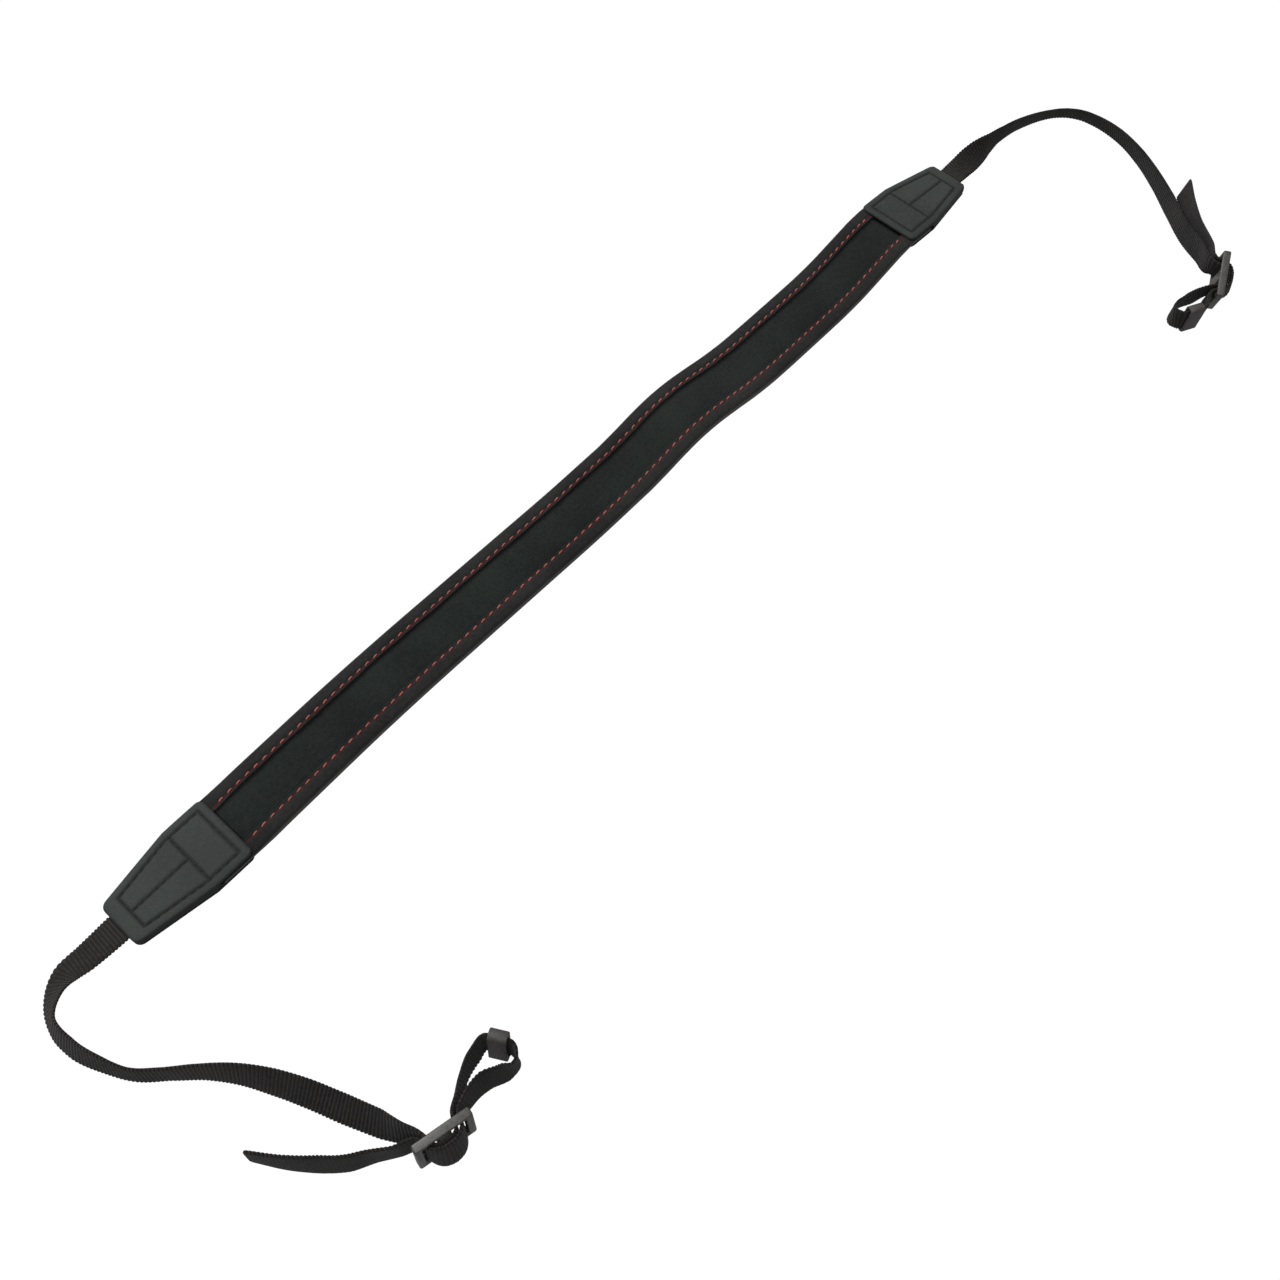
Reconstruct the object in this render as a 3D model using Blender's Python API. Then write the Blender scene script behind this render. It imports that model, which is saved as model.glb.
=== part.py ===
"""Camera neck strap, lying on its back.

A long flat pad ends in two stitched leather tabs. A narrow webbing comes out of each tab,
bends round on the ground, threads a three-bar slider, loops round for the camera's lug,
passes a keeper on the loop and threads the slider again to end in a loose tail.

Units are metres and +Z is up. The part lies on the plane z = 0. +X runs along the pad from
its near end to its far end, and the origin is on the pad's flat underside, at its middle.
The tables of places are in millimetres and degrees.
"""

import math
from collections import namedtuple

import bmesh
import bpy
from mathutils import Matrix, Vector

MM = 0.001
GAP = 0.3 * MM

# Pad: a cover folded up round both edges of a panel, and flattened at its two ends
PAD_WIDTH = 26.0 * MM
COVER_WALL = 1.0 * MM
PANEL_THICKNESS = 1.3 * MM
COVER_LIP = 5.9 * MM
FLAT_WALL = 0.5 * MM
FLAT_CAVITY = 1.0 * MM
FOLD_POINTS = 5

# Leather tabs: two layers sewn round the end of the pad and the start of the webbing
TAB_LENGTH = 41.5 * MM
TAB_WIDE = 25.6 * MM
TAB_NARROW = 17.0 * MM
TAB_STRAIGHT = 15.0 * MM
TAB_LEATHER = 1.2 * MM
TAB_CORNER = 2.2 * MM
TAB_RIM_DROP = 0.45 * MM
PAD_IN_TAB = 12.0 * MM
WEBBING_IN_TAB = 25.0 * MM

# Webbing
WEBBING_WIDTH = 10.0 * MM
WEBBING_THICKNESS = 1.1 * MM
SELVEDGE = 0.3 * MM
LONGEST_STEP = 4.0 * MM
SHARPEST_STEP = math.radians(14)
MOST_TWIST = math.radians(7)

# Slider: two end bars and a middle bar between two rails
SLIDER_LENGTH = 18.0 * MM
SLIDER_WIDTH = 12.8 * MM
SLIDER_THICKNESS = 2.8 * MM
SLIDER_END_BAR = 2.3 * MM
SLIDER_MIDDLE_BAR = 4.3 * MM
SLIDER_RAIL = 1.2 * MM
SLIDER_CORNER = 3.2 * MM

# Keeper: a short sleeve round one layer of webbing
KEEPER_LENGTH = 5.6 * MM
KEEPER_WIDTH = 12.6 * MM
KEEPER_THICKNESS = 4.0 * MM
KEEPER_SLOT_WIDTH = 10.6 * MM
KEEPER_SLOT_THICKNESS = 1.7 * MM

EDGE_ROUND = 0.5 * MM

# Heights that follow from the layers
COVER_CAVITY = PANEL_THICKNESS + 2 * GAP
PAD_THICKNESS = 2 * COVER_WALL + COVER_CAVITY
PAD_END_THICKNESS = 2 * FLAT_WALL + FLAT_CAVITY
PAD_END_LIFT = TAB_LEATHER + GAP
FRONT_OVER_PAD = PAD_END_LIFT + PAD_END_THICKNESS + GAP
FRONT_OVER_WEBBING = TAB_LEATHER + 2 * GAP + WEBBING_THICKNESS
FRONT_AT_EDGE = TAB_LEATHER + GAP
WEBBING_IN_TAB_HEIGHT = TAB_LEATHER + GAP + WEBBING_THICKNESS / 2

# One row for each cross-section of the pad: the middle of its underside, and how far it is
# flattened, from 0 in the open to 1 inside a tab
PadSection = namedtuple("PadSection", "x y z flat")
PAD_SECTIONS = [
    PadSection(-168.5, -2.1, 1.5, 1.0),
    PadSection(-165.0, -2.0, 0.9, 0.6),
    PadSection(-161.0, -1.8, 0.0, 0.0),
    PadSection(-140.0, -1.2, 0.0, 0.0),
    PadSection(-115.0, -0.7, 0.0, 0.0),
    PadSection(-95.0, -0.7, 0.0, 0.0),
    PadSection(-68.0, -1.1, 0.0, 0.0),
    PadSection(-40.0, -1.6, 0.0, 0.0),
    PadSection(-16.0, -2.0, 0.0, 0.0),
    PadSection(10.0, -1.9, 0.0, 0.0),
    PadSection(19.0, -1.9, 1.1, 0.0),
    PadSection(28.0, -1.9, 2.6, 0.0),
    PadSection(37.0, -1.9, 3.4, 0.0),
    PadSection(46.0, -2.0, 3.1, 0.0),
    PadSection(56.0, -2.4, 2.0, 0.0),
    PadSection(66.0, -2.9, 0.7, 0.0),
    PadSection(76.0, -3.3, 0.0, 0.0),
    PadSection(100.0, -3.6, 0.0, 0.0),
    PadSection(118.0, -3.6, 0.0, 0.0),
    PadSection(130.0, -3.4, 0.6, 0.0),
    PadSection(142.0, -3.0, 2.0, 0.0),
    PadSection(153.0, -2.5, 3.1, 0.0),
    PadSection(157.5, -2.3, 3.6, 0.5),
    PadSection(161.5, -2.1, 4.0, 1.0),
]

# One row for each tab: the middle of its wide end, its heading and how far it slopes down
TabPlace = namedtuple("TabPlace", "x y z heading slope")
NEAR_TAB = TabPlace(-168.9, -2.1, 0.0, 180.2, 0.0)
FAR_TAB = TabPlace(161.8, -2.1, 2.55, -1.2, 3.5)

# One row for each bend of a webbing: its middle, how high its lower edge is off the ground,
# and how far its width leans up from the ground, on the left of its way
Bend = namedtuple("Bend", "x y lift lean")
NEAR_RUN = [
    Bend(-222.3, -2.0, 0.1, 12),
    Bend(-229.3, -1.9, 0.0, 20),
    Bend(-235.4, -5.2, 0.0, 42),
    Bend(-240.2, -12.0, 0.0, 63),
    Bend(-240.4, -21.1, 0.0, 63),
    Bend(-237.4, -31.2, 0.0, 72),
    Bend(-233.3, -39.9, 0.0, 80),
    Bend(-226.8, -46.8, 0.0, 82),
    Bend(-219.9, -53.6, 0.0, 76),
    Bend(-213.6, -61.4, 0.0, 64),
    Bend(-208.5, -70.1, 0.0, 52),
    Bend(-204.3, -79.1, 0.0, 46),
    Bend(-200.3, -89.5, 0.0, 43),
    Bend(-196.2, -100.2, 0.8, 48),
    Bend(-193.8, -106.4, 1.8, 64),
]
NEAR_LOOP_OUT = [
    Bend(-177.2, -111.4, 1.6, 88),
    Bend(-172.2, -108.6, 1.6, 85),
    Bend(-166.8, -106.9, 1.8, 77),
]
NEAR_LOOP_BACK = [
    Bend(-158.3, -114.6, 2.1, 80),
    Bend(-159.9, -116.8, 1.8, 94),
    Bend(-163.6, -116.2, 1.3, 110),
    Bend(-169.6, -113.6, 1.3, 112),
    Bend(-176.3, -113.9, 1.5, 102),
]
NEAR_TAIL = [
    Bend(-198.2, -109.0, 2.2, 97),
    Bend(-203.2, -105.0, 1.2, 101),
    Bend(-209.1, -101.0, 0.5, 107),
    Bend(-214.0, -95.9, 0.0, 109),
    Bend(-219.7, -89.0, 0.0, 104),
    Bend(-225.8, -79.6, 0.0, 97),
]
FAR_RUN = [
    Bend(212.5, -3.2, 0.9, 10),
    Bend(220.0, -4.1, 0.2, 45),
    Bend(227.5, -5.1, 0.0, 80),
    Bend(235.0, -5.6, 0.0, 97),
    Bend(245.2, -7.6, 0.0, 108),
    Bend(251.5, -9.9, 0.0, 113),
    Bend(257.3, -12.7, 0.0, 118),
    Bend(262.1, -15.9, 0.0, 121),
    Bend(265.5, -19.7, 0.0, 122),
    Bend(267.6, -24.1, 0.0, 121),
    Bend(268.4, -29.6, 0.0, 118),
    Bend(267.3, -41.4, 0.0, 111),
    Bend(262.8, -53.4, 0.0, 104),
    Bend(255.9, -65.4, 0.0, 97),
    Bend(247.4, -77.4, 0.0, 90),
    Bend(236.9, -90.2, 0.9, 92),
    Bend(229.0, -99.9, 3.9, 94),
]
FAR_LOOP_OUT = [
    Bend(210.3, -110.3, 1.5, 84),
    Bend(204.4, -107.8, 0.8, 78),
    Bend(199.5, -107.9, 0.4, 88),
    Bend(196.8, -110.2, 1.0, 100),
]
FAR_LOOP_BACK = [
    Bend(207.2, -116.6, 0.8, 92),
]
FAR_TAIL = [
    Bend(229.2, -103.7, 6.0, 84),
    Bend(236.9, -94.0, 5.4, 88),
    Bend(244.8, -86.1, 5.0, 94),
    Bend(253.2, -78.8, 4.6, 103),
]

# Where each hard piece sits: its middle, the heading, rise and lean of the webbing there.
# A slider's heading is taken so that its front lies on the right of it.
Seat = namedtuple("Seat", "x y z heading rise lean")
NEAR_SLIDER = Seat(-187.0, -116.3, 7.5, -12.0, -6.6, 81.0)
FAR_SLIDER = Seat(220.2, -113.5, 9.5, 29.0, 20.0, 90.0)
NEAR_KEEPER = Seat(-159.8, -109.9, 7.1, -61.0, 2.0, 74.0)
FAR_KEEPER = Seat(200.3, -114.9, 6.7, -30.0, 3.0, 95.0)
KEEPER_LEAD = 0.6 * MM

# Half of each way through a slider, from over its middle bar to the side it leaves by:
# u along the slider, n out of its front
Weave = namedtuple("Weave", "u n tilt")
INNER_HALF = [
    Weave(0.0, 3.1, 12),
    Weave(2.3, 2.7, 10),
    Weave(3.5, 1.5, 6),
    Weave(3.9, 0.1, 2),
    Weave(4.1, -1.2, 0),
    Weave(4.6, -2.8, 0),
]
OUTER_HALF = [
    Weave(0.0, 4.6, 14),
    Weave(2.7, 4.05, 12),
    Weave(4.5, 2.6, 7),
    Weave(5.4, 1.0, 2),
    Weave(5.8, -0.6, 0),
    Weave(6.3, -2.2, 0),
]


def remove_objects():
    """Empty the scene."""
    for item in list(bpy.data.objects):
        bpy.data.objects.remove(item, do_unlink=True)


def material(name, colour, roughness):
    """Return a plain surface of one colour."""
    made = bpy.data.materials.new(name)
    made.use_nodes = True
    shader = made.node_tree.nodes["Principled BSDF"]
    shader.inputs["Base Color"].default_value = (*colour, 1.0)
    shader.inputs["Roughness"].default_value = roughness
    shader.inputs["Metallic"].default_value = 0.0
    return made


def add_object(name, bm, finish, smooth_angle=40.0):
    """Turn a bmesh into a named object with outward faces."""
    bmesh.ops.recalc_face_normals(bm, faces=bm.faces)
    mesh = bpy.data.meshes.new(name)
    bm.to_mesh(mesh)
    bm.free()
    mesh.shade_smooth()
    mesh.set_sharp_from_angle(angle=math.radians(smooth_angle))
    mesh.materials.append(finish)
    made = bpy.data.objects.new(name, mesh)
    bpy.context.scene.collection.objects.link(made)
    return made


def loft(rings):
    """Skin a list of rings that have the same number of points, and cap both ends."""
    bm = bmesh.new()
    layers = [[bm.verts.new(point) for point in ring] for ring in rings]
    for lower, upper in zip(layers, layers[1:]):
        for side in range(len(lower)):
            after = (side + 1) % len(lower)
            bm.faces.new((lower[side], lower[after], upper[after], upper[side]))
    bm.faces.new(layers[0])
    bm.faces.new(layers[-1])
    return bm


def between(low, high, share):
    """Return the value that lies a share of the way from low to high."""
    return low + (high - low) * share


def arc(middle_y, middle_z, radius, start, end, points):
    """Return points on an arc in the section's plane, with angles in degrees."""
    angles = [math.radians(between(start, end, i / (points - 1))) for i in range(points)]
    return [(middle_y + radius * math.cos(a), middle_z + radius * math.sin(a)) for a in angles]


def cover_outline(flat):
    """Return the cover's section: a floor with both edges folded up and in over it."""
    wall = between(COVER_WALL, FLAT_WALL, flat)
    cavity = between(COVER_CAVITY, FLAT_CAVITY, flat)
    outer = wall + cavity / 2
    inner = cavity / 2
    fold_y = PAD_WIDTH / 2 - outer
    lip_y = PAD_WIDTH / 2 - COVER_LIP
    right = arc(fold_y, outer, outer, -90, 90, FOLD_POINTS)
    right += [(lip_y, 2 * outer), (lip_y, 2 * outer - wall)]
    right += arc(fold_y, outer, inner, 90, -90, FOLD_POINTS)
    left = [(-y, z) for y, z in reversed(right)]
    return right + left


def panel_outline(flat):
    """Return the panel's section, with rounded edges, inside the cover's fold."""
    wall = between(COVER_WALL, FLAT_WALL, flat)
    cavity = between(COVER_CAVITY, FLAT_CAVITY, flat)
    radius = cavity / 2 - GAP
    fold_y = PAD_WIDTH / 2 - wall - cavity / 2
    right = arc(fold_y, wall + cavity / 2, radius, -90, 90, FOLD_POINTS)
    return right + [(-y, z) for y, z in reversed(right)]


def pad_ring(outline, section):
    """Place a section of the pad across +X."""
    return [Vector((section.x * MM, section.y * MM + y, section.z * MM + z)) for y, z in outline]


def tab_matrix(place):
    """Return where a tab lies: x down it from its wide end, z up through its layers."""
    turn = Matrix.Rotation(math.radians(place.heading), 4, "Z")
    tilt = Matrix.Rotation(math.radians(place.slope), 4, "Y")
    return Matrix.Translation(Vector(place[:3]) * MM) @ turn @ tilt


def pad_end_ring(place, along):
    """Return the flattened end of the pad at a place down the inside of a tab."""
    matrix = tab_matrix(place)
    facing = 1 if place.x > 0 else -1
    return [matrix @ Vector((along, y * facing, PAD_END_LIFT + z)) for y, z in cover_outline(1.0)]


def build_pad_cover(finish):
    """Build the pad's cover, from the end in one tab to the end in the other."""
    rings = [pad_ring(cover_outline(section.flat), section) for section in PAD_SECTIONS]
    rings.insert(0, pad_end_ring(NEAR_TAB, PAD_IN_TAB))
    rings.append(pad_end_ring(FAR_TAB, PAD_IN_TAB))
    return add_object("pad_cover", loft(rings), finish)


def build_pad_panel(finish):
    """Build the panel, which fills the open length of the cover."""
    rings = []
    for section in PAD_SECTIONS:
        rings.append(pad_ring(panel_outline(section.flat), section))
    return add_object("pad_panel", loft(rings), finish)


def tab_half_width(along):
    """Return half of a tab's width at a distance from its wide end."""
    taper = max(0.0, (along - TAB_STRAIGHT) / (TAB_LENGTH - TAB_STRAIGHT))
    half = between(TAB_WIDE, TAB_NARROW, taper) / 2
    to_end = min(along, TAB_LENGTH - along)
    if to_end < TAB_CORNER:
        reach = TAB_CORNER - to_end
        half -= TAB_CORNER - math.sqrt(TAB_CORNER**2 - reach**2)
    return half


def front_height(along, across):
    """Return the height of the front layer's underside, over the pad and the webbing."""
    shoulder = WEBBING_WIDTH / 2 + 2 * GAP
    beside = min(1.0, max(0.0, (abs(across) - shoulder) / (3 * MM)))
    over_webbing = between(FRONT_OVER_WEBBING, FRONT_AT_EDGE, beside)
    step = min(1.0, max(0.0, (along - PAD_IN_TAB - GAP) / (3 * MM)))
    return between(FRONT_OVER_PAD, over_webbing, step)


def front_top(along, across):
    """Return the height of the front layer's top, which falls a little to its rim."""
    slope = min(1.0, max(0.0, (along - PAD_IN_TAB) / (TAB_LENGTH - PAD_IN_TAB)))
    level = between(FRONT_OVER_PAD, FRONT_OVER_WEBBING, slope) + TAB_LEATHER
    at_rim = abs(across) > tab_half_width(along) - GAP
    return level - TAB_RIM_DROP if at_rim else level


def tab_rings(height, top):
    """Return a leather layer's sections down a tab, from its underside to its top."""
    stops = [0.0, 0.25, 1.0, 4.0, 12.3, 14.0, 15.3, 22.0, 30.0, 37.0, 40.5, 41.25, 41.5]
    shoulder = WEBBING_WIDTH / 2 + 2 * GAP
    rings = []
    for stop in stops:
        along = stop * MM
        half = tab_half_width(along)
        spread = [-half, between(-shoulder, -half, 0.5), -shoulder, 0.0]
        spread += [-y for y in reversed(spread[:3])]
        under = [Vector((along, y, height(along, y))) for y in spread]
        over = [Vector((along, y, top(along, y))) for y in reversed(spread)]
        rings.append(under + over)
    return rings


def build_tab(name, place, finish):
    """Build the front and back layer of a tab, and lay them in their place."""
    layers = {
        "back": (lambda along, across: 0.0, lambda along, across: TAB_LEATHER),
        "front": (front_height, front_top),
    }
    for side, (height, top) in layers.items():
        layer = add_object(f"{name}_tab_{side}", loft(tab_rings(height, top)), finish)
        layer.matrix_world = tab_matrix(place)


def seat_matrix(seat):
    """Return a seat's frame: x on along the webbing, y up its width, z out of its front."""
    heading = math.radians(seat.heading)
    rise = math.radians(seat.rise)
    lean = math.radians(seat.lean)
    along = Vector((math.cos(rise) * math.cos(heading), math.cos(rise) * math.sin(heading),
                    math.sin(rise)))
    left = Vector((-math.sin(heading), math.cos(heading), 0.0))
    across = math.cos(lean) * left + math.sin(lean) * along.cross(left)
    out = along.cross(across)
    matrix = Matrix((along, across, out)).transposed().to_4x4()
    matrix.translation = Vector(seat[:3]) * MM
    return matrix


def stop_in_seat(seat, along, out, tilt=0.0):
    """Return a stop in a seat's frame, with the upper edge tilted back by degrees."""
    matrix = seat_matrix(seat)
    place = matrix @ Vector((along * MM, 0.0, out * MM))
    back = math.radians(tilt)
    return place, None, matrix.to_3x3() @ Vector((0.0, math.cos(back), -math.sin(back)))


def stops_from_bends(bends):
    """Return the stops of a stretch that its bends give."""
    stops = []
    for bend in bends:
        lean = math.radians(bend.lean)
        height = bend.lift * MM + WEBBING_WIDTH / 2 * math.sin(lean)
        height += WEBBING_THICKNESS / 2 * abs(math.cos(lean))
        stops.append((Vector((bend.x * MM, bend.y * MM, height)), lean, None))
    return stops


def stops_over_bar(seat, half, start):
    """Return the stops through a slider, from the side u = start over to the other."""
    rows = [(start * row.u, row.n, row.tilt) for row in reversed(half)]
    rows += [(-start * row.u, row.n, row.tilt) for row in half[1:]]
    return [stop_in_seat(seat, u, n, tilt) for u, n, tilt in rows]


def stops_in_keeper(seat):
    """Return the stops straight through a keeper."""
    mouth = KEEPER_LENGTH / 2 / MM
    outside = mouth + KEEPER_LEAD / MM
    return [stop_in_seat(seat, along, 0.0) for along in (-outside, -mouth, mouth, outside)]


def stops_in_tab(place):
    """Return the stops from inside a tab to its narrow end."""
    matrix = tab_matrix(place)
    across = matrix.to_3x3() @ Vector((0.0, 1.0, 0.0))
    stops = []
    for share in (0.0, 0.5, 1.0):
        along = TAB_LENGTH - WEBBING_IN_TAB * (1.0 - share) + 1.5 * MM * share
        stops.append((matrix @ Vector((along, 0.0, WEBBING_IN_TAB_HEIGHT)), None, across))
    return stops


def tangents(points):
    """Return the direction of a smooth curve at each of its points."""
    legs = [after - before for before, after in zip(points, points[1:])]
    made = [legs[0].normalized()]
    for before, after in zip(legs, legs[1:]):
        turn = before.normalized() * after.length + after.normalized() * before.length
        made.append(turn.normalized())
    made.append(legs[-1].normalized())
    return made


def width_direction(tangent, lean, across):
    """Return the way the webbing's width points at a stop."""
    if across is not None:
        return (across - across.dot(tangent) * tangent).normalized()
    left = Vector((-tangent.y, tangent.x, 0.0)).normalized()
    return math.cos(lean) * left + math.sin(lean) * tangent.cross(left)


def webbing_ring(middle, across, through):
    """Return the webbing's section, with its four corners taken off."""
    half_width = WEBBING_WIDTH / 2
    half_through = WEBBING_THICKNESS / 2
    quarter = [(half_width, half_through - SELVEDGE), (half_width - SELVEDGE, half_through)]
    half = quarter + [(-w, t) for w, t in reversed(quarter)]
    outline = half + [(-w, -t) for w, t in half]
    return [middle + across * w + through * t for w, t in outline]


def webbing_rings(stops):
    """Sweep the webbing's section smoothly through its stops."""
    points = [stop[0] for stop in stops]
    ways = tangents(points)
    widths = [width_direction(way, stop[1], stop[2]) for way, stop in zip(ways, stops)]
    rings = []
    for i in range(len(points) - 1):
        length = (points[i + 1] - points[i]).length
        turn = ways[i].angle(ways[i + 1]) / SHARPEST_STEP
        twist = widths[i].angle(widths[i + 1]) / MOST_TWIST
        steps = math.ceil(max(length / LONGEST_STEP, turn, twist, 1.0))
        last = i == len(points) - 2
        for step in range(steps + (1 if last else 0)):
            s = step / steps
            middle = (
                points[i] * (2 * s**3 - 3 * s**2 + 1)
                + ways[i] * length * (s**3 - 2 * s**2 + s)
                + points[i + 1] * (3 * s**2 - 2 * s**3)
                + ways[i + 1] * length * (s**3 - s**2)
            )
            way = (
                points[i] * (6 * s**2 - 6 * s)
                + ways[i] * length * (3 * s**2 - 4 * s + 1)
                + points[i + 1] * (6 * s - 6 * s**2)
                + ways[i + 1] * length * (3 * s**2 - 2 * s)
            ).normalized()
            across = widths[i].lerp(widths[i + 1], s)
            across = (across - across.dot(way) * way).normalized()
            rings.append(webbing_ring(middle, across, way.cross(across)))
    return rings


def near_stops():
    """Return the near webbing's stops, from its tab to the end of its tail."""
    stops = stops_in_tab(NEAR_TAB)
    stops += stops_from_bends(NEAR_RUN)
    stops += stops_over_bar(NEAR_SLIDER, INNER_HALF, -1)
    stops += stops_from_bends(NEAR_LOOP_OUT)
    stops += stops_in_keeper(NEAR_KEEPER)
    stops += stops_from_bends(NEAR_LOOP_BACK)
    stops += stops_over_bar(NEAR_SLIDER, OUTER_HALF, 1)
    stops += stops_from_bends(NEAR_TAIL)
    return stops


def far_stops():
    """Return the far webbing's stops, from its tab to the end of its tail."""
    stops = stops_in_tab(FAR_TAB)
    stops += stops_from_bends(FAR_RUN)
    stops += stops_over_bar(FAR_SLIDER, INNER_HALF, 1)
    stops += stops_from_bends(FAR_LOOP_OUT)
    stops += stops_in_keeper(FAR_KEEPER)
    stops += stops_from_bends(FAR_LOOP_BACK)
    stops += stops_over_bar(FAR_SLIDER, OUTER_HALF, -1)
    stops += stops_from_bends(FAR_TAIL)
    return stops


def add_box(name, size, middle):
    """Add a box, for a body or for a cut."""
    bm = bmesh.new()
    bmesh.ops.create_cube(bm, size=1.0)
    for vertex in bm.verts:
        vertex.co = Vector(middle) + Vector([v * s for v, s in zip(vertex.co, size)])
    mesh = bpy.data.meshes.new(name)
    bm.to_mesh(mesh)
    bm.free()
    made = bpy.data.objects.new(name, mesh)
    bpy.context.scene.collection.objects.link(made)
    return made


def round_edges(body, width, segments, chosen):
    """Bevel the edges of a body that a test chooses."""
    bm = bmesh.new()
    bm.from_mesh(body.data)
    edges = [edge for edge in bm.edges if chosen(edge)]
    bmesh.ops.bevel(bm, geom=edges, offset=width, segments=segments, profile=0.5,
                    affect="EDGES", clamp_overlap=True)
    bm.to_mesh(body.data)
    bm.free()


def runs_through(edge):
    """Tell whether an edge runs through a piece's thickness."""
    way = (edge.verts[0].co - edge.verts[1].co).normalized()
    return abs(way.z) > 0.99


def cut(body, cutter):
    """Take a guide's shape out of a body."""
    cutter.hide_render = True
    cutter.display_type = "WIRE"
    modifier = body.modifiers.new(cutter.name, "BOOLEAN")
    modifier.operation = "DIFFERENCE"
    modifier.solver = "EXACT"
    modifier.object = cutter
    cutter.parent = body


def build_slider(name, seat, finish):
    """Build a slider with its two slots, and set it in its seat."""
    body = add_box(f"{name}_slider", (SLIDER_LENGTH, SLIDER_WIDTH, SLIDER_THICKNESS), (0, 0, 0))
    round_edges(body, SLIDER_CORNER, 3, runs_through)
    round_edges(body, EDGE_ROUND, 1, lambda edge: not runs_through(edge) and edge.is_manifold
                and edge.calc_face_angle() > math.radians(60))
    slot = (SLIDER_LENGTH - 2 * SLIDER_END_BAR - SLIDER_MIDDLE_BAR) / 2
    opening = (slot, SLIDER_WIDTH - 2 * SLIDER_RAIL, 3 * SLIDER_THICKNESS)
    for side, along in (("left", -1), ("right", 1)):
        middle = along * (SLIDER_MIDDLE_BAR + slot) / 2
        cut(body, add_box(f"{name}_slider_{side}_slot", opening, (middle, 0, 0)))
    body.data.materials.append(finish)
    body.matrix_world = seat_matrix(seat)


def build_keeper(name, seat, finish):
    """Build a keeper with its slot, and set it in its seat."""
    body = add_box(f"{name}_keeper", (KEEPER_LENGTH, KEEPER_WIDTH, KEEPER_THICKNESS), (0, 0, 0))
    round_edges(body, 3 * EDGE_ROUND, 2, lambda edge: abs(
        (edge.verts[0].co - edge.verts[1].co).normalized().x) > 0.99)
    opening = (2 * KEEPER_LENGTH, KEEPER_SLOT_WIDTH, KEEPER_SLOT_THICKNESS)
    cut(body, add_box(f"{name}_keeper_slot", opening, (0, 0, 0)))
    body.data.materials.append(finish)
    body.matrix_world = seat_matrix(seat)


def main():
    """Build the strap."""
    remove_objects()
    cover = material("cover_fabric", (0.021, 0.021, 0.020), 0.9)
    panel = material("panel_fabric", (0.014, 0.018, 0.017), 0.85)
    leather = material("tab_leather", (0.048, 0.055, 0.052), 0.6)
    webbing = material("strap_webbing", (0.022, 0.023, 0.022), 0.85)
    slider = material("slider_plastic", (0.1, 0.1, 0.1), 0.5)
    keeper = material("keeper_plastic", (0.08, 0.075, 0.078), 0.5)
    build_pad_cover(cover)
    build_pad_panel(panel)
    build_tab("near", NEAR_TAB, leather)
    build_tab("far", FAR_TAB, leather)
    add_object("near_webbing", loft(webbing_rings(near_stops())), webbing)
    add_object("far_webbing", loft(webbing_rings(far_stops())), webbing)
    build_slider("near", NEAR_SLIDER, slider)
    build_slider("far", FAR_SLIDER, slider)
    build_keeper("near", NEAR_KEEPER, keeper)
    build_keeper("far", FAR_KEEPER, keeper)
    bpy.context.view_layer.update()


main()
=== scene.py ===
"""Looks of the camera neck strap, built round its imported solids.

The strap lies on a pale floor. A long pad in folded cloth ends in two stitched leather tabs.
A ribbed webbing comes out of each tab, turns on its edge, and threads a slider, a loop for the
camera's lug and a keeper. Lengths in the tables are millimetres, and everything else is metres.
"""

from __future__ import annotations

import logging
import math
from collections.abc import Callable, Iterable, Sequence
from dataclasses import dataclass, field
from enum import Enum
from typing import NamedTuple

import bmesh
import bpy
import numpy as np
from mathutils import Matrix, Vector

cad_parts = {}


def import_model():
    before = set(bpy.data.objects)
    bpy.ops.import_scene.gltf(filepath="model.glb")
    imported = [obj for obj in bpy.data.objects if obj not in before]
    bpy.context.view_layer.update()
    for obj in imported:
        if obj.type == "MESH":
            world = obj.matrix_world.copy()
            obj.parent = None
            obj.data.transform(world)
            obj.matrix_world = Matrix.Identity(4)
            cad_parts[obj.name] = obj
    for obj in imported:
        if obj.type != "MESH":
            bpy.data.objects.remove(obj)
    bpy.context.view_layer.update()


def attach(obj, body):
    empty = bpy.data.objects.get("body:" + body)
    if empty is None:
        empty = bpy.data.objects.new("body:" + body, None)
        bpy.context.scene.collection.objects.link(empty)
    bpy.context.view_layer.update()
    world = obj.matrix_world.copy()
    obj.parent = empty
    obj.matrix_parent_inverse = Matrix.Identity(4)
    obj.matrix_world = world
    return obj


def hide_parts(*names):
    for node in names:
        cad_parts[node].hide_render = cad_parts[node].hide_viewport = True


log = logging.getLogger("strap")

MM = 0.001
GAP = 0.3 * MM
BODY = "root"
BLACK = (0.0, 0.0, 0.0, 1.0)
WHITE = (1.0, 1.0, 1.0, 1.0)

Array = np.ndarray
Colour = tuple[float, float, float, float]
Socket = bpy.types.NodeSocket


class Side(Enum):
    """Which end of the strap a piece belongs to."""

    NEAR = "near"
    FAR = "far"


class PadSection(NamedTuple):
    """The middle of the pad's underside, and how flat it is pressed, from 0 to 1."""

    x: float
    y: float
    z: float
    flat: float


class TabPlace(NamedTuple):
    """The middle of a tab's wide end, its heading and its slope."""

    x: float
    y: float
    z: float
    heading: float
    slope: float


class Bend(NamedTuple):
    """The webbing's middle, its lower edge's height, and how far its width leans up."""

    x: float
    y: float
    lift: float
    lean: float


class Seat(NamedTuple):
    """Where a hard piece sits, and the heading, rise and lean of the webbing there."""

    x: float
    y: float
    z: float
    heading: float
    rise: float
    lean: float


class Weave(NamedTuple):
    """A point on the way through a slider, and how far the upper edge tilts back there."""

    u: float
    n: float
    tilt: float


def rows_of(kind: type, *rows: tuple[float, ...]) -> list:
    """Give plain rows the named columns of a kind."""
    return [kind(*row) for row in rows]


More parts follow.
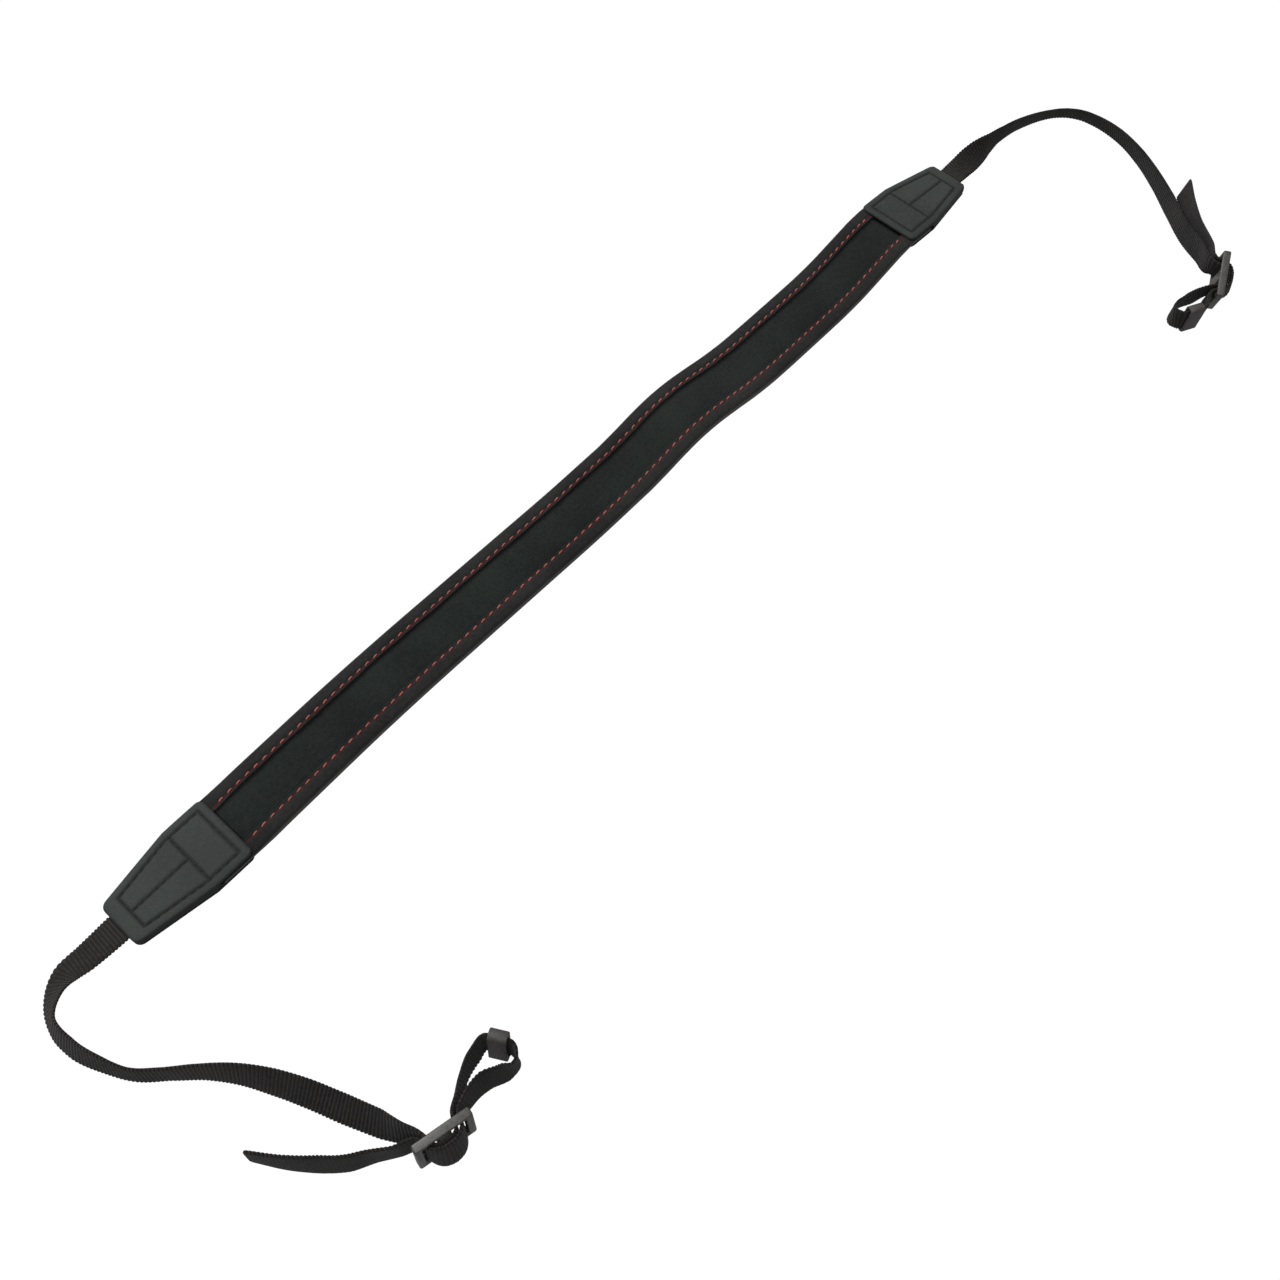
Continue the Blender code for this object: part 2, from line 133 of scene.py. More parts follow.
PAD_SECTIONS = rows_of(
    PadSection,
    (-168.5, -2.1, 1.5, 1.0), (-165.0, -2.0, 0.9, 0.6), (-161.0, -1.8, 0.0, 0.0),
    (-140.0, -1.2, 0.0, 0.0), (-115.0, -0.7, 0.0, 0.0), (-95.0, -0.7, 0.0, 0.0),
    (-68.0, -1.1, 0.0, 0.0), (-40.0, -1.6, 0.0, 0.0), (-16.0, -2.0, 0.0, 0.0),
    (10.0, -1.9, 0.0, 0.0), (19.0, -1.9, 1.1, 0.0), (28.0, -1.9, 2.6, 0.0),
    (37.0, -1.9, 3.4, 0.0), (46.0, -2.0, 3.1, 0.0), (56.0, -2.4, 2.0, 0.0),
    (66.0, -2.9, 0.7, 0.0), (76.0, -3.3, 0.0, 0.0), (100.0, -3.6, 0.0, 0.0),
    (118.0, -3.6, 0.0, 0.0), (130.0, -3.4, 0.6, 0.0), (142.0, -3.0, 2.0, 0.0),
    (153.0, -2.5, 3.1, 0.0), (157.5, -2.3, 3.6, 0.5), (161.5, -2.1, 4.0, 1.0),
)

TAB_PLACES = {
    Side.NEAR: TabPlace(-168.9, -2.1, 0.0, 180.2, 0.0),
    Side.FAR: TabPlace(161.8, -2.1, 2.55, -1.2, 3.5),
}

RUNS = {
    Side.NEAR: rows_of(
        Bend,
        (-222.3, -2.0, 0.1, 12), (-229.3, -1.9, 0.0, 20), (-235.4, -5.2, 0.0, 42),
        (-240.2, -12.0, 0.0, 63), (-240.4, -21.1, 0.0, 63), (-237.4, -31.2, 0.0, 72),
        (-233.3, -39.9, 0.0, 80), (-226.8, -46.8, 0.0, 82), (-219.9, -53.6, 0.0, 76),
        (-213.6, -61.4, 0.0, 64), (-208.5, -70.1, 0.0, 52), (-204.3, -79.1, 0.0, 46),
        (-200.3, -89.5, 0.0, 43), (-196.2, -100.2, 0.8, 48), (-193.8, -106.4, 1.8, 64),
    ),
    Side.FAR: rows_of(
        Bend,
        (212.5, -3.2, 0.9, 10), (220.0, -4.1, 0.2, 45), (227.5, -5.1, 0.0, 80),
        (235.0, -5.6, 0.0, 97), (245.2, -7.6, 0.0, 108), (251.5, -9.9, 0.0, 113),
        (257.3, -12.7, 0.0, 118), (262.1, -15.9, 0.0, 121), (265.5, -19.7, 0.0, 122),
        (267.6, -24.1, 0.0, 121), (268.4, -29.6, 0.0, 118), (267.3, -41.4, 0.0, 111),
        (262.8, -53.4, 0.0, 104), (255.9, -65.4, 0.0, 97), (247.4, -77.4, 0.0, 90),
        (236.9, -90.2, 0.9, 92), (229.0, -99.9, 3.9, 94),
    ),
}

LOOPS_OUT = {
    Side.NEAR: rows_of(
        Bend,
        (-177.2, -111.4, 1.6, 88), (-172.2, -108.6, 1.6, 85), (-166.8, -106.9, 1.8, 77),
    ),
    Side.FAR: rows_of(
        Bend,
        (210.3, -110.3, 1.5, 84), (204.4, -107.8, 0.8, 78), (199.5, -107.9, 0.4, 88),
        (196.8, -110.2, 1.0, 100),
    ),
}

LOOPS_BACK = {
    Side.NEAR: rows_of(
        Bend,
        (-158.3, -114.6, 2.1, 80), (-159.9, -116.8, 1.8, 94), (-163.6, -116.2, 1.3, 110),
        (-169.6, -113.6, 1.3, 112), (-176.3, -113.9, 1.5, 102),
    ),
    Side.FAR: rows_of(
        Bend,
        (207.2, -116.6, 0.8, 92),
    ),
}

TAILS = {
    Side.NEAR: rows_of(
        Bend,
        (-198.2, -109.0, 2.2, 97), (-203.2, -105.0, 1.2, 101), (-209.1, -101.0, 0.5, 107),
        (-214.0, -95.9, 0.0, 109), (-219.7, -89.0, 0.0, 104), (-225.8, -79.6, 0.0, 97),
    ),
    Side.FAR: rows_of(
        Bend,
        (229.2, -103.7, 6.0, 84), (236.9, -94.0, 5.4, 88), (244.8, -86.1, 5.0, 94),
        (253.2, -78.8, 4.6, 103),
    ),
}

SLIDER_SEATS = {
    Side.NEAR: Seat(-187.0, -116.3, 7.5, -12.0, -6.6, 81.0),
    Side.FAR: Seat(220.2, -113.5, 9.5, 29.0, 20.0, 90.0),
}

KEEPER_SEATS = {
    Side.NEAR: Seat(-159.8, -109.9, 7.1, -61.0, 2.0, 74.0),
    Side.FAR: Seat(200.3, -114.9, 6.7, -30.0, 3.0, 95.0),
}

INNER_HALF = rows_of(
    Weave,
    (0.0, 3.1, 12), (2.3, 2.7, 10), (3.5, 1.5, 6), (3.9, 0.1, 2), (4.1, -1.2, 0), (4.6, -2.8, 0),
)

OUTER_HALF = rows_of(
    Weave,
    (0.0, 4.6, 14), (2.7, 4.05, 12), (4.5, 2.6, 7), (5.4, 1.0, 2), (5.8, -0.6, 0), (6.3, -2.2, 0),
)


def srgb(red: int, green: int, blue: int) -> Colour:
    """Turn a colour of 0 to 255 a channel into the linear colour that shaders take."""
    channels = []
    for value in (red, green, blue):
        share = value / 255
        channels.append(share / 12.92 if share <= 0.04045 else ((share + 0.055) / 1.055) ** 2.4)
    return (*channels, 1.0)


def darker(colour: Colour, share: float) -> Colour:
    """Return a share of a colour's light."""
    return (*(share * value for value in colour[:3]), 1.0)


class NodeTree:
    """A short way to write a tree of shader nodes."""

    def __init__(self, tree: bpy.types.NodeTree) -> None:
        """Keep the tree that the nodes go in."""
        self.tree = tree

    def add(self, kind: str, **values: object) -> bpy.types.Node:
        """Add a node.

        Args:
            kind: The node's type, without the ShaderNode it starts with.
            values: Its properties by name.

        Returns:
            The new node.
        """
        node = self.tree.nodes.new(kind if kind.startswith("NodeGroup") else f"ShaderNode{kind}")
        for name, value in values.items():
            setattr(node, name, value)
        return node

    def feed(self, socket: Socket, value: object) -> None:
        """Link a socket to an output, or set its value."""
        if isinstance(value, Socket):
            self.tree.links.new(value, socket)
        else:
            socket.default_value = value

    def fed(self, node: bpy.types.Node, **values: object) -> bpy.types.Node:
        """Feed a node's inputs by name, with _ for a space, and return the node."""
        for name, value in values.items():
            self.feed(node.inputs[name.replace("_", " ")], value)
        return node

    def math(self, operation: str, first: object, second: object = 0.0) -> Socket:
        """Return the result of a Math node."""
        node = self.add("Math", operation=operation)
        self.feed(node.inputs[0], first)
        self.feed(node.inputs[1], second)
        return node.outputs[0]

    def times(self, first: object, second: object) -> Socket:
        """Return the product of two numbers."""
        return self.math("MULTIPLY", first, second)

    def wave(self, phase: object) -> Socket:
        """Return the height of a row of round ridges, one for each half turn."""
        return self.math("ABSOLUTE", self.math("SINE", phase))

    def mix(self, factor: object, low: object, high: object) -> Socket:
        """Return a colour that lies between two colours."""
        return self.between("RGBA", 6, factor, low, high)

    def blend(self, factor: object, low: object, high: object) -> Socket:
        """Return a number that lies between two numbers."""
        return self.between("FLOAT", 2, factor, low, high)

    def between(self, kind: str, first: int, factor: object, low: object, high: object) -> Socket:
        """Return the result of a Mix node of a kind, whose inputs of that kind start at first."""
        node = self.add("Mix", data_type=kind)
        for index, value in ((0, factor), (first, low), (first + 1, high)):
            self.feed(node.inputs[index], value)
        return node.outputs[2 if kind == "RGBA" else 0]

    def ramp(self, value: object, low: object, high: object) -> Socket:
        """Return 0 below low and 1 above high, with a smooth step between."""
        node = self.add("MapRange", interpolation_type="SMOOTHSTEP")
        return self.fed(node, Value=value, From_Min=low, From_Max=high).outputs["Result"]

    def noise(self, vector: object, scale: object, detail: float = 2.0) -> Socket:
        """Return the value of a Noise Texture."""
        node = self.fed(self.add("TexNoise"), Vector=vector, Scale=scale, Detail=detail)
        return node.outputs["Fac"]

    def parts(self, vector: object) -> bpy.types.bpy_prop_collection:
        """Return the parts of a vector."""
        return self.fed(self.add("SeparateXYZ"), Vector=vector).outputs

    def spot(self) -> Socket:
        """Return the place on the piece, in metres."""
        return self.add("TexCoord").outputs["Object"]

    def uv(self) -> Socket:
        """Return the piece's own UV map."""
        return self.add("UVMap", uv_map="UVMap").outputs[0]

    def mark(self, name: str) -> Socket:
        """Return a value that is kept at each point of the piece."""
        return self.add("Attribute", attribute_name=name).outputs["Fac"]


class Effect(Enum):
    """The surface effects that more than one material uses."""

    THREADS = "crossing_threads"
    MOTTLE = "cloth_mottle"
    GRAIN = "leather_grain"
    SPECKS = "lint_specks"


class Effects:
    """Builds each shared effect once, as a group of nodes."""

    def __init__(self) -> None:
        """Start with no group built."""
        self.built: dict[Effect, bpy.types.NodeTree] = {}

    def get(self, effect: Effect) -> bpy.types.NodeTree:
        """Return an effect's group, built when it is first asked for."""
        makers = {
            Effect.THREADS: self.make_threads,
            Effect.MOTTLE: self.make_mottle,
            Effect.GRAIN: self.make_grain,
            Effect.SPECKS: self.make_specks,
        }
        if effect not in self.built:
            self.built[effect] = makers[effect]()
        return self.built[effect]

    @staticmethod
    def start(
        effect: Effect, outputs: dict[str, str], **inputs: str
    ) -> tuple[NodeTree, bpy.types.bpy_prop_collection, bpy.types.Node]:
        """Make an empty group with its sockets.

        Args:
            effect: The effect that names the group.
            outputs: Socket names and what they hold.
            inputs: What each socket holds, by its name.

        Returns:
            The group's tree, the sockets that it is given and its output node.
        """
        group = bpy.data.node_groups.new(effect.value, "ShaderNodeTree")
        for way, sockets in (("INPUT", inputs), ("OUTPUT", outputs)):
            for name, kind in sockets.items():
                group.interface.new_socket(name, in_out=way, socket_type=f"NodeSocket{kind}")
        tree = NodeTree(group)
        return tree, tree.add("NodeGroupInput").outputs, tree.add("NodeGroupOutput")

    def make_threads(self) -> bpy.types.NodeTree:
        """Threads that cross over and under each other on a UV map in centimetres."""
        tree, given, out = self.start(
            Effect.THREADS, {"Height": "Float"}, Vector="Vector", Across="Float", Along="Float"
        )
        parts = tree.parts(given["Vector"])
        across = tree.times(parts[0], given["Across"])
        along = tree.times(parts[1], given["Along"])
        rows = tree.math("ADD", tree.math("FLOOR", across), tree.math("FLOOR", along))
        warp = tree.wave(tree.times(across, math.pi))
        weft = tree.wave(tree.times(along, math.pi))
        tops = []
        for thread, crossing in ((warp, weft), (weft, warp)):
            dip = tree.blend(crossing, 0.55, 1.0)
            tops.append(tree.times(tree.math("POWER", thread, 0.5), dip))
        tree.fed(out, Height=tree.blend(tree.math("FLOORED_MODULO", rows, 2.0), *tops))
        return tree.tree

    def make_mottle(self) -> bpy.types.NodeTree:
        """Patches of slightly lighter and darker cloth, on two scales."""
        tree, given, out = self.start(
            Effect.MOTTLE, {"Color": "Color", "Patch": "Float"},
            Vector="Vector", Dark="Color", Light="Color",
        )
        wide = tree.noise(given["Vector"], 45.0, 3.0)
        fine = tree.noise(given["Vector"], 900.0)
        patch = tree.ramp(tree.math("ADD", wide, tree.times(fine, 0.7)), 0.6, 1.1)
        tree.fed(out, Color=tree.mix(patch, given["Dark"], given["Light"]), Patch=patch)
        return tree.tree

    def make_grain(self) -> bpy.types.NodeTree:
        """The pebbles and fine creases of leather."""
        tree, given, out = self.start(
            Effect.GRAIN, {"Height": "Float", "Crease": "Float"}, Vector="Vector", Scale="Float"
        )
        cells = tree.add("TexVoronoi", feature="DISTANCE_TO_EDGE")
        tree.fed(cells, Vector=given["Vector"], Scale=given["Scale"])
        crease = tree.ramp(cells.outputs["Distance"], 0.0, 0.22)
        pores = tree.noise(given["Vector"], 5200.0, 3.0)
        tree.fed(out, Height=tree.math("ADD", crease, tree.times(pores, 0.5)), Crease=crease)
        return tree.tree

    def make_specks(self) -> bpy.types.NodeTree:
        """A few short pale or brown fibres, as a mask."""
        tree, given, out = self.start(
            Effect.SPECKS, {"Mask": "Float"}, Vector="Vector", Scale="Float", Least="Float"
        )
        spots = tree.noise(given["Vector"], given["Scale"], 1.0)
        tree.fed(out, Mask=tree.ramp(spots, given["Least"], 0.95))
        return tree.tree


EFFECTS = Effects()


@dataclass(frozen=True, kw_only=True)
class Finish:
    """What every finish shares: a name, and a Principled shader with its plain values."""

    name: str
    roughness: float
    specular: float
    sheen: float = 0.0

    def shader(self) -> tuple[bpy.types.Material, NodeTree, bpy.types.Node]:
        """Start the material.

        Returns:
            The material, its tree and its Principled shader.
        """
        made = bpy.data.materials.new(self.name)
        made.use_nodes = True
        tree = NodeTree(made.node_tree)
        principled = tree.fed(
            made.node_tree.nodes["Principled BSDF"], Roughness=self.roughness,
            Specular_IOR_Level=self.specular, Sheen_Weight=self.sheen, Sheen_Roughness=0.5,
        )
        return made, tree, principled

    @staticmethod
    def effect(
        tree: NodeTree, effect: Effect, **values: object
    ) -> bpy.types.bpy_prop_collection:
        """Place a shared effect in a material, with its own values, and return its outputs."""
        return tree.fed(tree.add("Group", node_tree=EFFECTS.get(effect)), **values).outputs

    @staticmethod
    def bump(tree: NodeTree, principled: bpy.types.Node, height: object, distance: float) -> None:
        """Raise the surface by a height, of which 1 stands a distance high."""
        node = tree.fed(tree.add("Bump"), Distance=distance, Strength=1.0, Height=height)
        tree.fed(principled, Normal=node.outputs["Normal"])


@dataclass(frozen=True, kw_only=True)
class Toned(Finish):
    """A finish that strays between a dark and a light tone, with a few specks of lint on it."""

    dark: Colour
    light: Colour

    def tone(self, tree: NodeTree) -> bpy.types.bpy_prop_collection:
        """Return the mottled colour and its patches."""
        return self.effect(
            tree, Effect.MOTTLE, Vector=tree.spot(), Dark=self.dark, Light=self.light
        )

    def lint(self, tree: NodeTree, scale: float, least: float) -> Socket:
        """Return the mask of the specks."""
        values = {"Vector": tree.spot(), "Scale": scale, "Least": least}
        return self.effect(tree, Effect.SPECKS, **values)["Mask"]

    def gloss(self, tree: NodeTree, patch: Socket, down: float) -> Socket:
        """Return the roughness, which strays down and up with the patches."""
        return tree.blend(patch, self.roughness - down, self.roughness + 0.08)


@dataclass(frozen=True, kw_only=True)
class Cloth(Toned):
    """Woven cloth on a UV map in centimetres."""

    speck: Colour
    seam: Colour = srgb(62, 22, 22)
    # The colour of the painted highlight on the cover's lit outer fold.
    fold_highlight: Colour = srgb(108, 104, 104)
    across: float
    along: float
    thread: float = 0.12 * MM

    def build(self) -> bpy.types.Material:
        """Build the material."""
        made, tree, principled = self.shader()
        threads = self.effect(
            tree, Effect.THREADS, Vector=tree.uv(), Across=self.across, Along=self.along
        )["Height"]
        # Painted shade: the cloth is darker in the gaps between the threads.
        colour = tree.mix(
            tree.times(threads, 0.75), darker(self.dark, 0.35), self.tone(tree)["Color"]
        )
        # Over it go lint specks, the seam's red fibres and a painted highlight on the lit outer
        # fold.
        for mask, share, over in (
            (self.lint(tree, 2600.0, 0.68), 0.5, self.speck),
            (tree.mark("sewn"), 0.7, self.seam),
            (tree.mark("fold"), 0.6, self.fold_highlight),
        ):
            colour = tree.mix(tree.times(mask, share), colour, over)
        tree.fed(principled, Base_Color=colour)
        self.bump(tree, principled, threads, self.thread)
        return made


@dataclass(frozen=True, kw_only=True)
class RibbedCloth(Toned):
    """Webbing: one colour along the ribs, fine threads on them, and pale brown edges."""

    edge: Colour
    rib: float = 1.15
    width: float = 10.0

    def build(self) -> bpy.types.Material:
        """Build the material."""
        made, tree, principled = self.shader()
        uv = tree.uv()
        parts = tree.parts(uv)
        rib = tree.math("POWER", tree.wave(tree.times(parts[1], math.pi * 10 / self.rib)), 0.6)
        from_middle = tree.times(tree.math("ABSOLUTE", parts[0]), 10.0)
        at_edge = tree.ramp(from_middle, 0.42 * self.width, 0.5 * self.width)
        threads = self.effect(tree, Effect.THREADS, Vector=uv, Across=26.0, Along=52.0)["Height"]
        # Painted shade: the grooves between the ribs are darker.
        shaded = tree.mix(rib, darker(self.dark, 0.3), self.tone(tree)["Color"])
        fibres = tree.times(self.lint(tree, 3200.0, 0.6), tree.blend(at_edge, 0.25, 0.9))
        tree.fed(principled, Base_Color=tree.mix(fibres, shaded, self.edge))
        height = tree.math("ADD", rib, tree.times(threads, 0.35))
        self.bump(tree, principled, height, 0.14 * MM)
        return made


@dataclass(frozen=True, kw_only=True)
class Leather(Toned):
    """Grained leather, darker where the stitching presses it in, and with painted shade on the rim
    and side walls of each tab.
    """

    # The dark of the seams' press, which also paints shade on the rim and side walls.
    pressed: Colour

    def build(self) -> bpy.types.Material:
        """Build the material."""
        made, tree, principled = self.shader()
        grain = self.effect(tree, Effect.GRAIN, Vector=tree.spot(), Scale=1500.0)
        tone = self.tone(tree)
        # Painted shade: the creases of the grain are darkened.
        between = tree.math("SUBTRACT", 1.0, grain["Crease"])
        creased = tree.mix(tree.times(between, 0.35), tone["Color"], self.dark)
        # The pressed mark darkens the leather along the seams and, as painted shade, round the rim
        # and side walls.
        colour = tree.mix(tree.times(tree.mark("pressed"), 0.85), creased, self.pressed)
        tree.fed(principled, Base_Color=colour, Roughness=self.gloss(tree, tone["Patch"], 0.06))
        self.bump(tree, principled, grain["Height"], 0.05 * MM)
        return made


@dataclass(frozen=True, kw_only=True)
class Moulded(Toned):
    """Moulded plastic with a fine spark-eroded skin."""

    def build(self) -> bpy.types.Material:
        """Build the material."""
        made, tree, principled = self.shader()
        tone = self.tone(tree)
        dust = tree.times(self.lint(tree, 3800.0, 0.66), 0.35)
        colour = tree.mix(dust, tone["Color"], srgb(130, 126, 120))
        tree.fed(principled, Base_Color=colour, Roughness=self.gloss(tree, tone["Patch"], 0.08))
        self.bump(tree, principled, tree.noise(tree.spot(), 6000.0), 0.03 * MM)
        return made


@dataclass(frozen=True, kw_only=True)
class Thread(Finish):
    """Twisted sewing thread on a UV map that winds along each stitch."""

    colour: Colour
    shade: Colour

    def build(self) -> bpy.types.Material:
        """Build the material."""
        made, tree, principled = self.shader()
        parts = tree.parts(tree.uv())
        turns = tree.math("ADD", tree.times(parts[1], 4.0), parts[0])
        twist = tree.wave(tree.times(turns, 2 * math.pi))
        fibre = tree.times(twist, tree.blend(tree.noise(tree.spot(), 420.0), 0.6, 1.25))
        tree.fed(principled, Base_Color=tree.mix(fibre, self.shade, self.colour))
        self.bump(tree, principled, twist, 0.05 * MM)
        return made


COVER_CLOTH = Cloth(
    name="cover_cloth", roughness=0.92, sheen=0.06, specular=0.12, dark=srgb(33, 34, 33),
    light=srgb(52, 52, 51), speck=srgb(124, 106, 98), across=24.0, along=24.0,
)
PANEL_CLOTH = Cloth(
    name="panel_cloth", roughness=0.9, sheen=0.04, specular=0.1, dark=srgb(28, 33, 31),
    light=srgb(44, 50, 46), speck=srgb(96, 94, 88), across=13.0, along=16.0, thread=0.2 * MM,
)
WEBBING = RibbedCloth(
    name="ribbed_webbing", roughness=0.88, sheen=0.08, specular=0.12, dark=srgb(27, 26, 25),
    light=srgb(46, 43, 42), edge=srgb(126, 98, 88),
)
# Its pressed colour also serves as painted shade on the rims of the tabs.
TAB_LEATHER = Leather(
    name="tab_leather", roughness=0.66, sheen=0.03, specular=0.2, dark=srgb(39, 43, 41),
    light=srgb(54, 58, 55), pressed=srgb(10, 12, 11),
)
SLIDER_PLASTIC = Moulded(
    name="slider_plastic", roughness=0.38, specular=0.5, dark=srgb(44, 43, 41),
    light=srgb(72, 70, 67),
)
KEEPER_PLASTIC = Moulded(
    name="keeper_plastic", roughness=0.55, specular=0.3, dark=srgb(58, 54, 54),
    light=srgb(82, 77, 78),
)
PAD_THREAD = Thread(
    name="pad_thread", roughness=0.7, sheen=0.1, specular=0.2, colour=srgb(198, 110, 98),
    shade=srgb(112, 38, 36),
)
TAB_THREAD = Thread(
    name="tab_thread", roughness=0.7, sheen=0.05, specular=0.2, colour=srgb(30, 32, 31),
    shade=srgb(10, 11, 11),
)


def smooth(share: Array) -> Array:
    """Return an eased share: slow at 0 and at 1."""
    return share * share * (3 - 2 * share)


def curve(s: Array, start: Array, leave: Array, end: Array, arrive: Array) -> Array:
    """Read a curve between two values.

    Args:
        s: How far along, from 0 to 1.
        start: The first value.
        leave: How fast the curve leaves it.
        end: The last value.
        arrive: How fast the curve arrives there.

    Returns:
        The values of the curve there.
    """
    return (
        start * (2 * s**3 - 3 * s**2 + 1)
        + leave * (s**3 - 2 * s**2 + s)
        + end * (3 * s**2 - 2 * s**3)
        + arrive * (s**3 - s**2)
    )


def distances(points: Array) -> Array:
    """Return how far along a line of points each of them is."""
    return np.concatenate([[0.0], np.cumsum(np.linalg.norm(np.diff(points, axis=0), axis=1))])


def read_line(at: Array, far: Array, points: Array) -> Array:
    """Return the places at distances along a line, whose points are at the distances far."""
    return np.stack([np.interp(at, far, points[:, c]) for c in range(3)], -1)


def moved(matrix: Matrix, points: Array) -> Array:
    """Return points moved and turned by a matrix."""
    array = np.array(matrix)
    return points @ array[:3, :3].T + array[:3, 3]


def paint(piece: bpy.types.Object, name: str, values: Array) -> None:
    """Keep a value at each point of a piece, for its material."""
    mark = piece.data.attributes.new(name, "FLOAT", "POINT")
    mark.data.foreach_set("value", values.astype(np.float32).ravel())


def skin(
    name: str, rings: Array, uvs: Array, finish: bpy.types.Material
) -> bpy.types.Object:
    """Skin closed rings of points into one solid with capped ends.

    Args:
        name: The object's name.
        rings: Points, by ring, by place round it, in metres.
        uvs: UV places, by ring, with one more round it than there are points.
        finish: Its material.

    Returns:
        The new object, at the origin, riding on the strap's body.
    """
    count, around = rings.shape[:2]
    ring = np.arange(count - 1)[:, None] * around
    here = np.arange(around)[None, :]
    after = (here + 1) % around
    quads = np.stack([ring + here, ring + after, ring + around + after, ring + around + here], -1)
    faces = quads.reshape(-1, 4).tolist()
    faces += [list(range(around)), [(count - 1) * around + k for k in range(around)]]
    first, second = uvs[:-1], uvs[1:]
    corners = np.stack([first[:, :-1], first[:, 1:], second[:, 1:], second[:, :-1]], 2)
    flat = np.concatenate([corners.reshape(-1, 2), uvs[0, :-1], uvs[-1, :-1]])
    return finish_piece(name, (rings.reshape(-1, 3).tolist(), faces, flat), finish)


def finish_piece(
    name: str, parts: tuple[Sequence, Sequence, Array], finish: bpy.types.Material,
    angle: float = 50.0,
) -> bpy.types.Object:
    """Make a smooth piece with a UV map, which rides on the strap.

    Args:
        name: The object's name.
        parts: Its points in the strap's frame, its faces, and the UV place of each corner.
        finish: Its material.
        angle: The sharpest edge that is still smooth, in degrees.

    Returns:
        The new object.
    """
    verts, faces, uvs = parts
    mesh = bpy.data.meshes.new(name)
    mesh.from_pydata(verts, [], faces)
    layer = mesh.uv_layers.new(name="UVMap")
    layer.data.foreach_set("uv", np.asarray(uvs, np.float32).ravel())
    bm = bmesh.new()
    bm.from_mesh(mesh)
    bmesh.ops.recalc_face_normals(bm, faces=bm.faces)
    bm.to_mesh(mesh)
    bm.free()
    mesh.shade_smooth()
    mesh.set_sharp_from_angle(angle=math.radians(angle))
    mesh.materials.append(finish)
    made = bpy.data.objects.new(name, mesh)
    bpy.context.scene.collection.objects.link(made)
    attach(made, BODY)
    return made


def select_only(piece: bpy.types.Object) -> None:
    """Select one object and make it active."""
    bpy.ops.object.select_all(action="DESELECT")
    piece.select_set(True)
    bpy.context.view_layer.objects.active = piece


def through(xs: Sequence[float], ys: Sequence[float], at: Array) -> Array:
    """Read a smooth curve through given points.

    Args:
        xs: Places, rising.
        ys: Values there.
        at: Where to read it.

    Returns:
        The values of the curve there.
    """
    x, y = np.asarray(xs, float), np.asarray(ys, float)
    slope = np.gradient(y, x)
    k = np.clip(np.searchsorted(x, at) - 1, 0, len(x) - 2)
    span = x[k + 1] - x[k]
    s = np.clip((at - x[k]) / span, 0, 1)
    return curve(s, y[k], slope[k] * span, y[k + 1], slope[k + 1] * span)


def ripple(at: Array, lengths: Iterable[float], seed: float) -> Array:
    """Return an uneven wave of height 1, as hand-made edges have, from a few wavelengths."""
    total = np.zeros_like(at)
    for k, length in enumerate(lengths):
        total += np.sin(2 * np.pi * at / length + seed * (k + 1.7)) / (k + 1)
    return total / 1.8


@dataclass
class Stitching:
    """Sewing thread: a row of short stitches, each sunk at both ends."""

    name: str
    finish: bpy.types.Material
    pitch: float = 3.6 * MM
    stitch: float = 1.9 * MM
    thick: float = 0.46 * MM
    slant: float = 0.14
    proud: float = 0.36
    end_girth: float = 0.45
    spread: float = 1.15
    sides: int = 6
    rings: Sequence[float] = (0.0, 0.06, 0.2, 0.5, 0.8, 0.94, 1.0)
    verts: list[Vector] = field(default_factory=list)
    faces: list[tuple[int, ...]] = field(default_factory=list)
    uvs: list[tuple[float, float]] = field(default_factory=list)

    def add(self, start: Vector, end: Vector, up: Vector, sink: float) -> None:
        """Add a stitch.

        Args:
            start: Where the thread comes out of the cloth.
            end: Where it goes in again.
            up: The way out of the cloth.
            sink: How far its ends go in.
        """
        way = end - start
        aside = up.cross(way).normalized()
        start = start - aside * way.length * self.slant / 2
        way = end + aside * way.length * self.slant / 2 - start
        base = len(self.verts)
        for share in self.rings:
            rise = math.sin(math.pi * share) ** 0.5
            middle = start + way * share
            middle += up * (self.thick * self.proud * rise - sink * (1 - rise))
            girth = self.thick / 2 * (self.end_girth + (1 - self.end_girth) * rise)
            for side in range(self.sides):
                turn = 2 * math.pi * side / self.sides
                out = aside * (math.cos(turn) * girth * self.spread)
                self.verts.append(middle + out + up * (math.sin(turn) * girth))
        for ring in range(len(self.rings) - 1):
            low, high = base + ring * self.sides, base + (ring + 1) * self.sides
            for side in range(self.sides):
                after = (side + 1) % self.sides
                self.faces.append((low + side, low + after, high + after, high + side))
                u, v = side / self.sides, self.rings[ring]
                du, dv = 1 / self.sides, self.rings[ring + 1] - self.rings[ring]
                self.uvs += [(u, v), (u + du, v), (u + du, v + dv), (u, v + dv)]
        last = base + (len(self.rings) - 1) * self.sides
        self.faces.append(tuple(base + k for k in reversed(range(self.sides))))
        self.faces.append(tuple(last + k for k in range(self.sides)))
        self.uvs += [(0.0, 0.0)] * self.sides + [(0.0, 1.0)] * self.sides

    def sew(self, points: Array, out: Array, sink: float) -> None:
        """Sew along a line.

        Args:
            points: Close points along it.
            out: The way out of the cloth at each.
            sink: How far the stitches' ends go in.
        """
        far = distances(points)
        count = max(1, int(far[-1] / self.pitch))
        pitch = far[-1] / count
        length = self.stitch * pitch / self.pitch
        for k in range(count):
            begin = (k + 0.5) * pitch - length / 2
            start, end = read_line(np.array([begin, begin + length]), far, points)
            up = Vector(read_line((k + 0.5) * pitch, far, out))
            self.add(Vector(start), Vector(end), up.normalized(), sink)

    def build(self) -> bpy.types.Object:
        """Build all the stitches as one piece."""
        parts = ([list(v) for v in self.verts], self.faces, self.uvs)
        return finish_piece(self.name, parts, self.finish, angle=80.0)


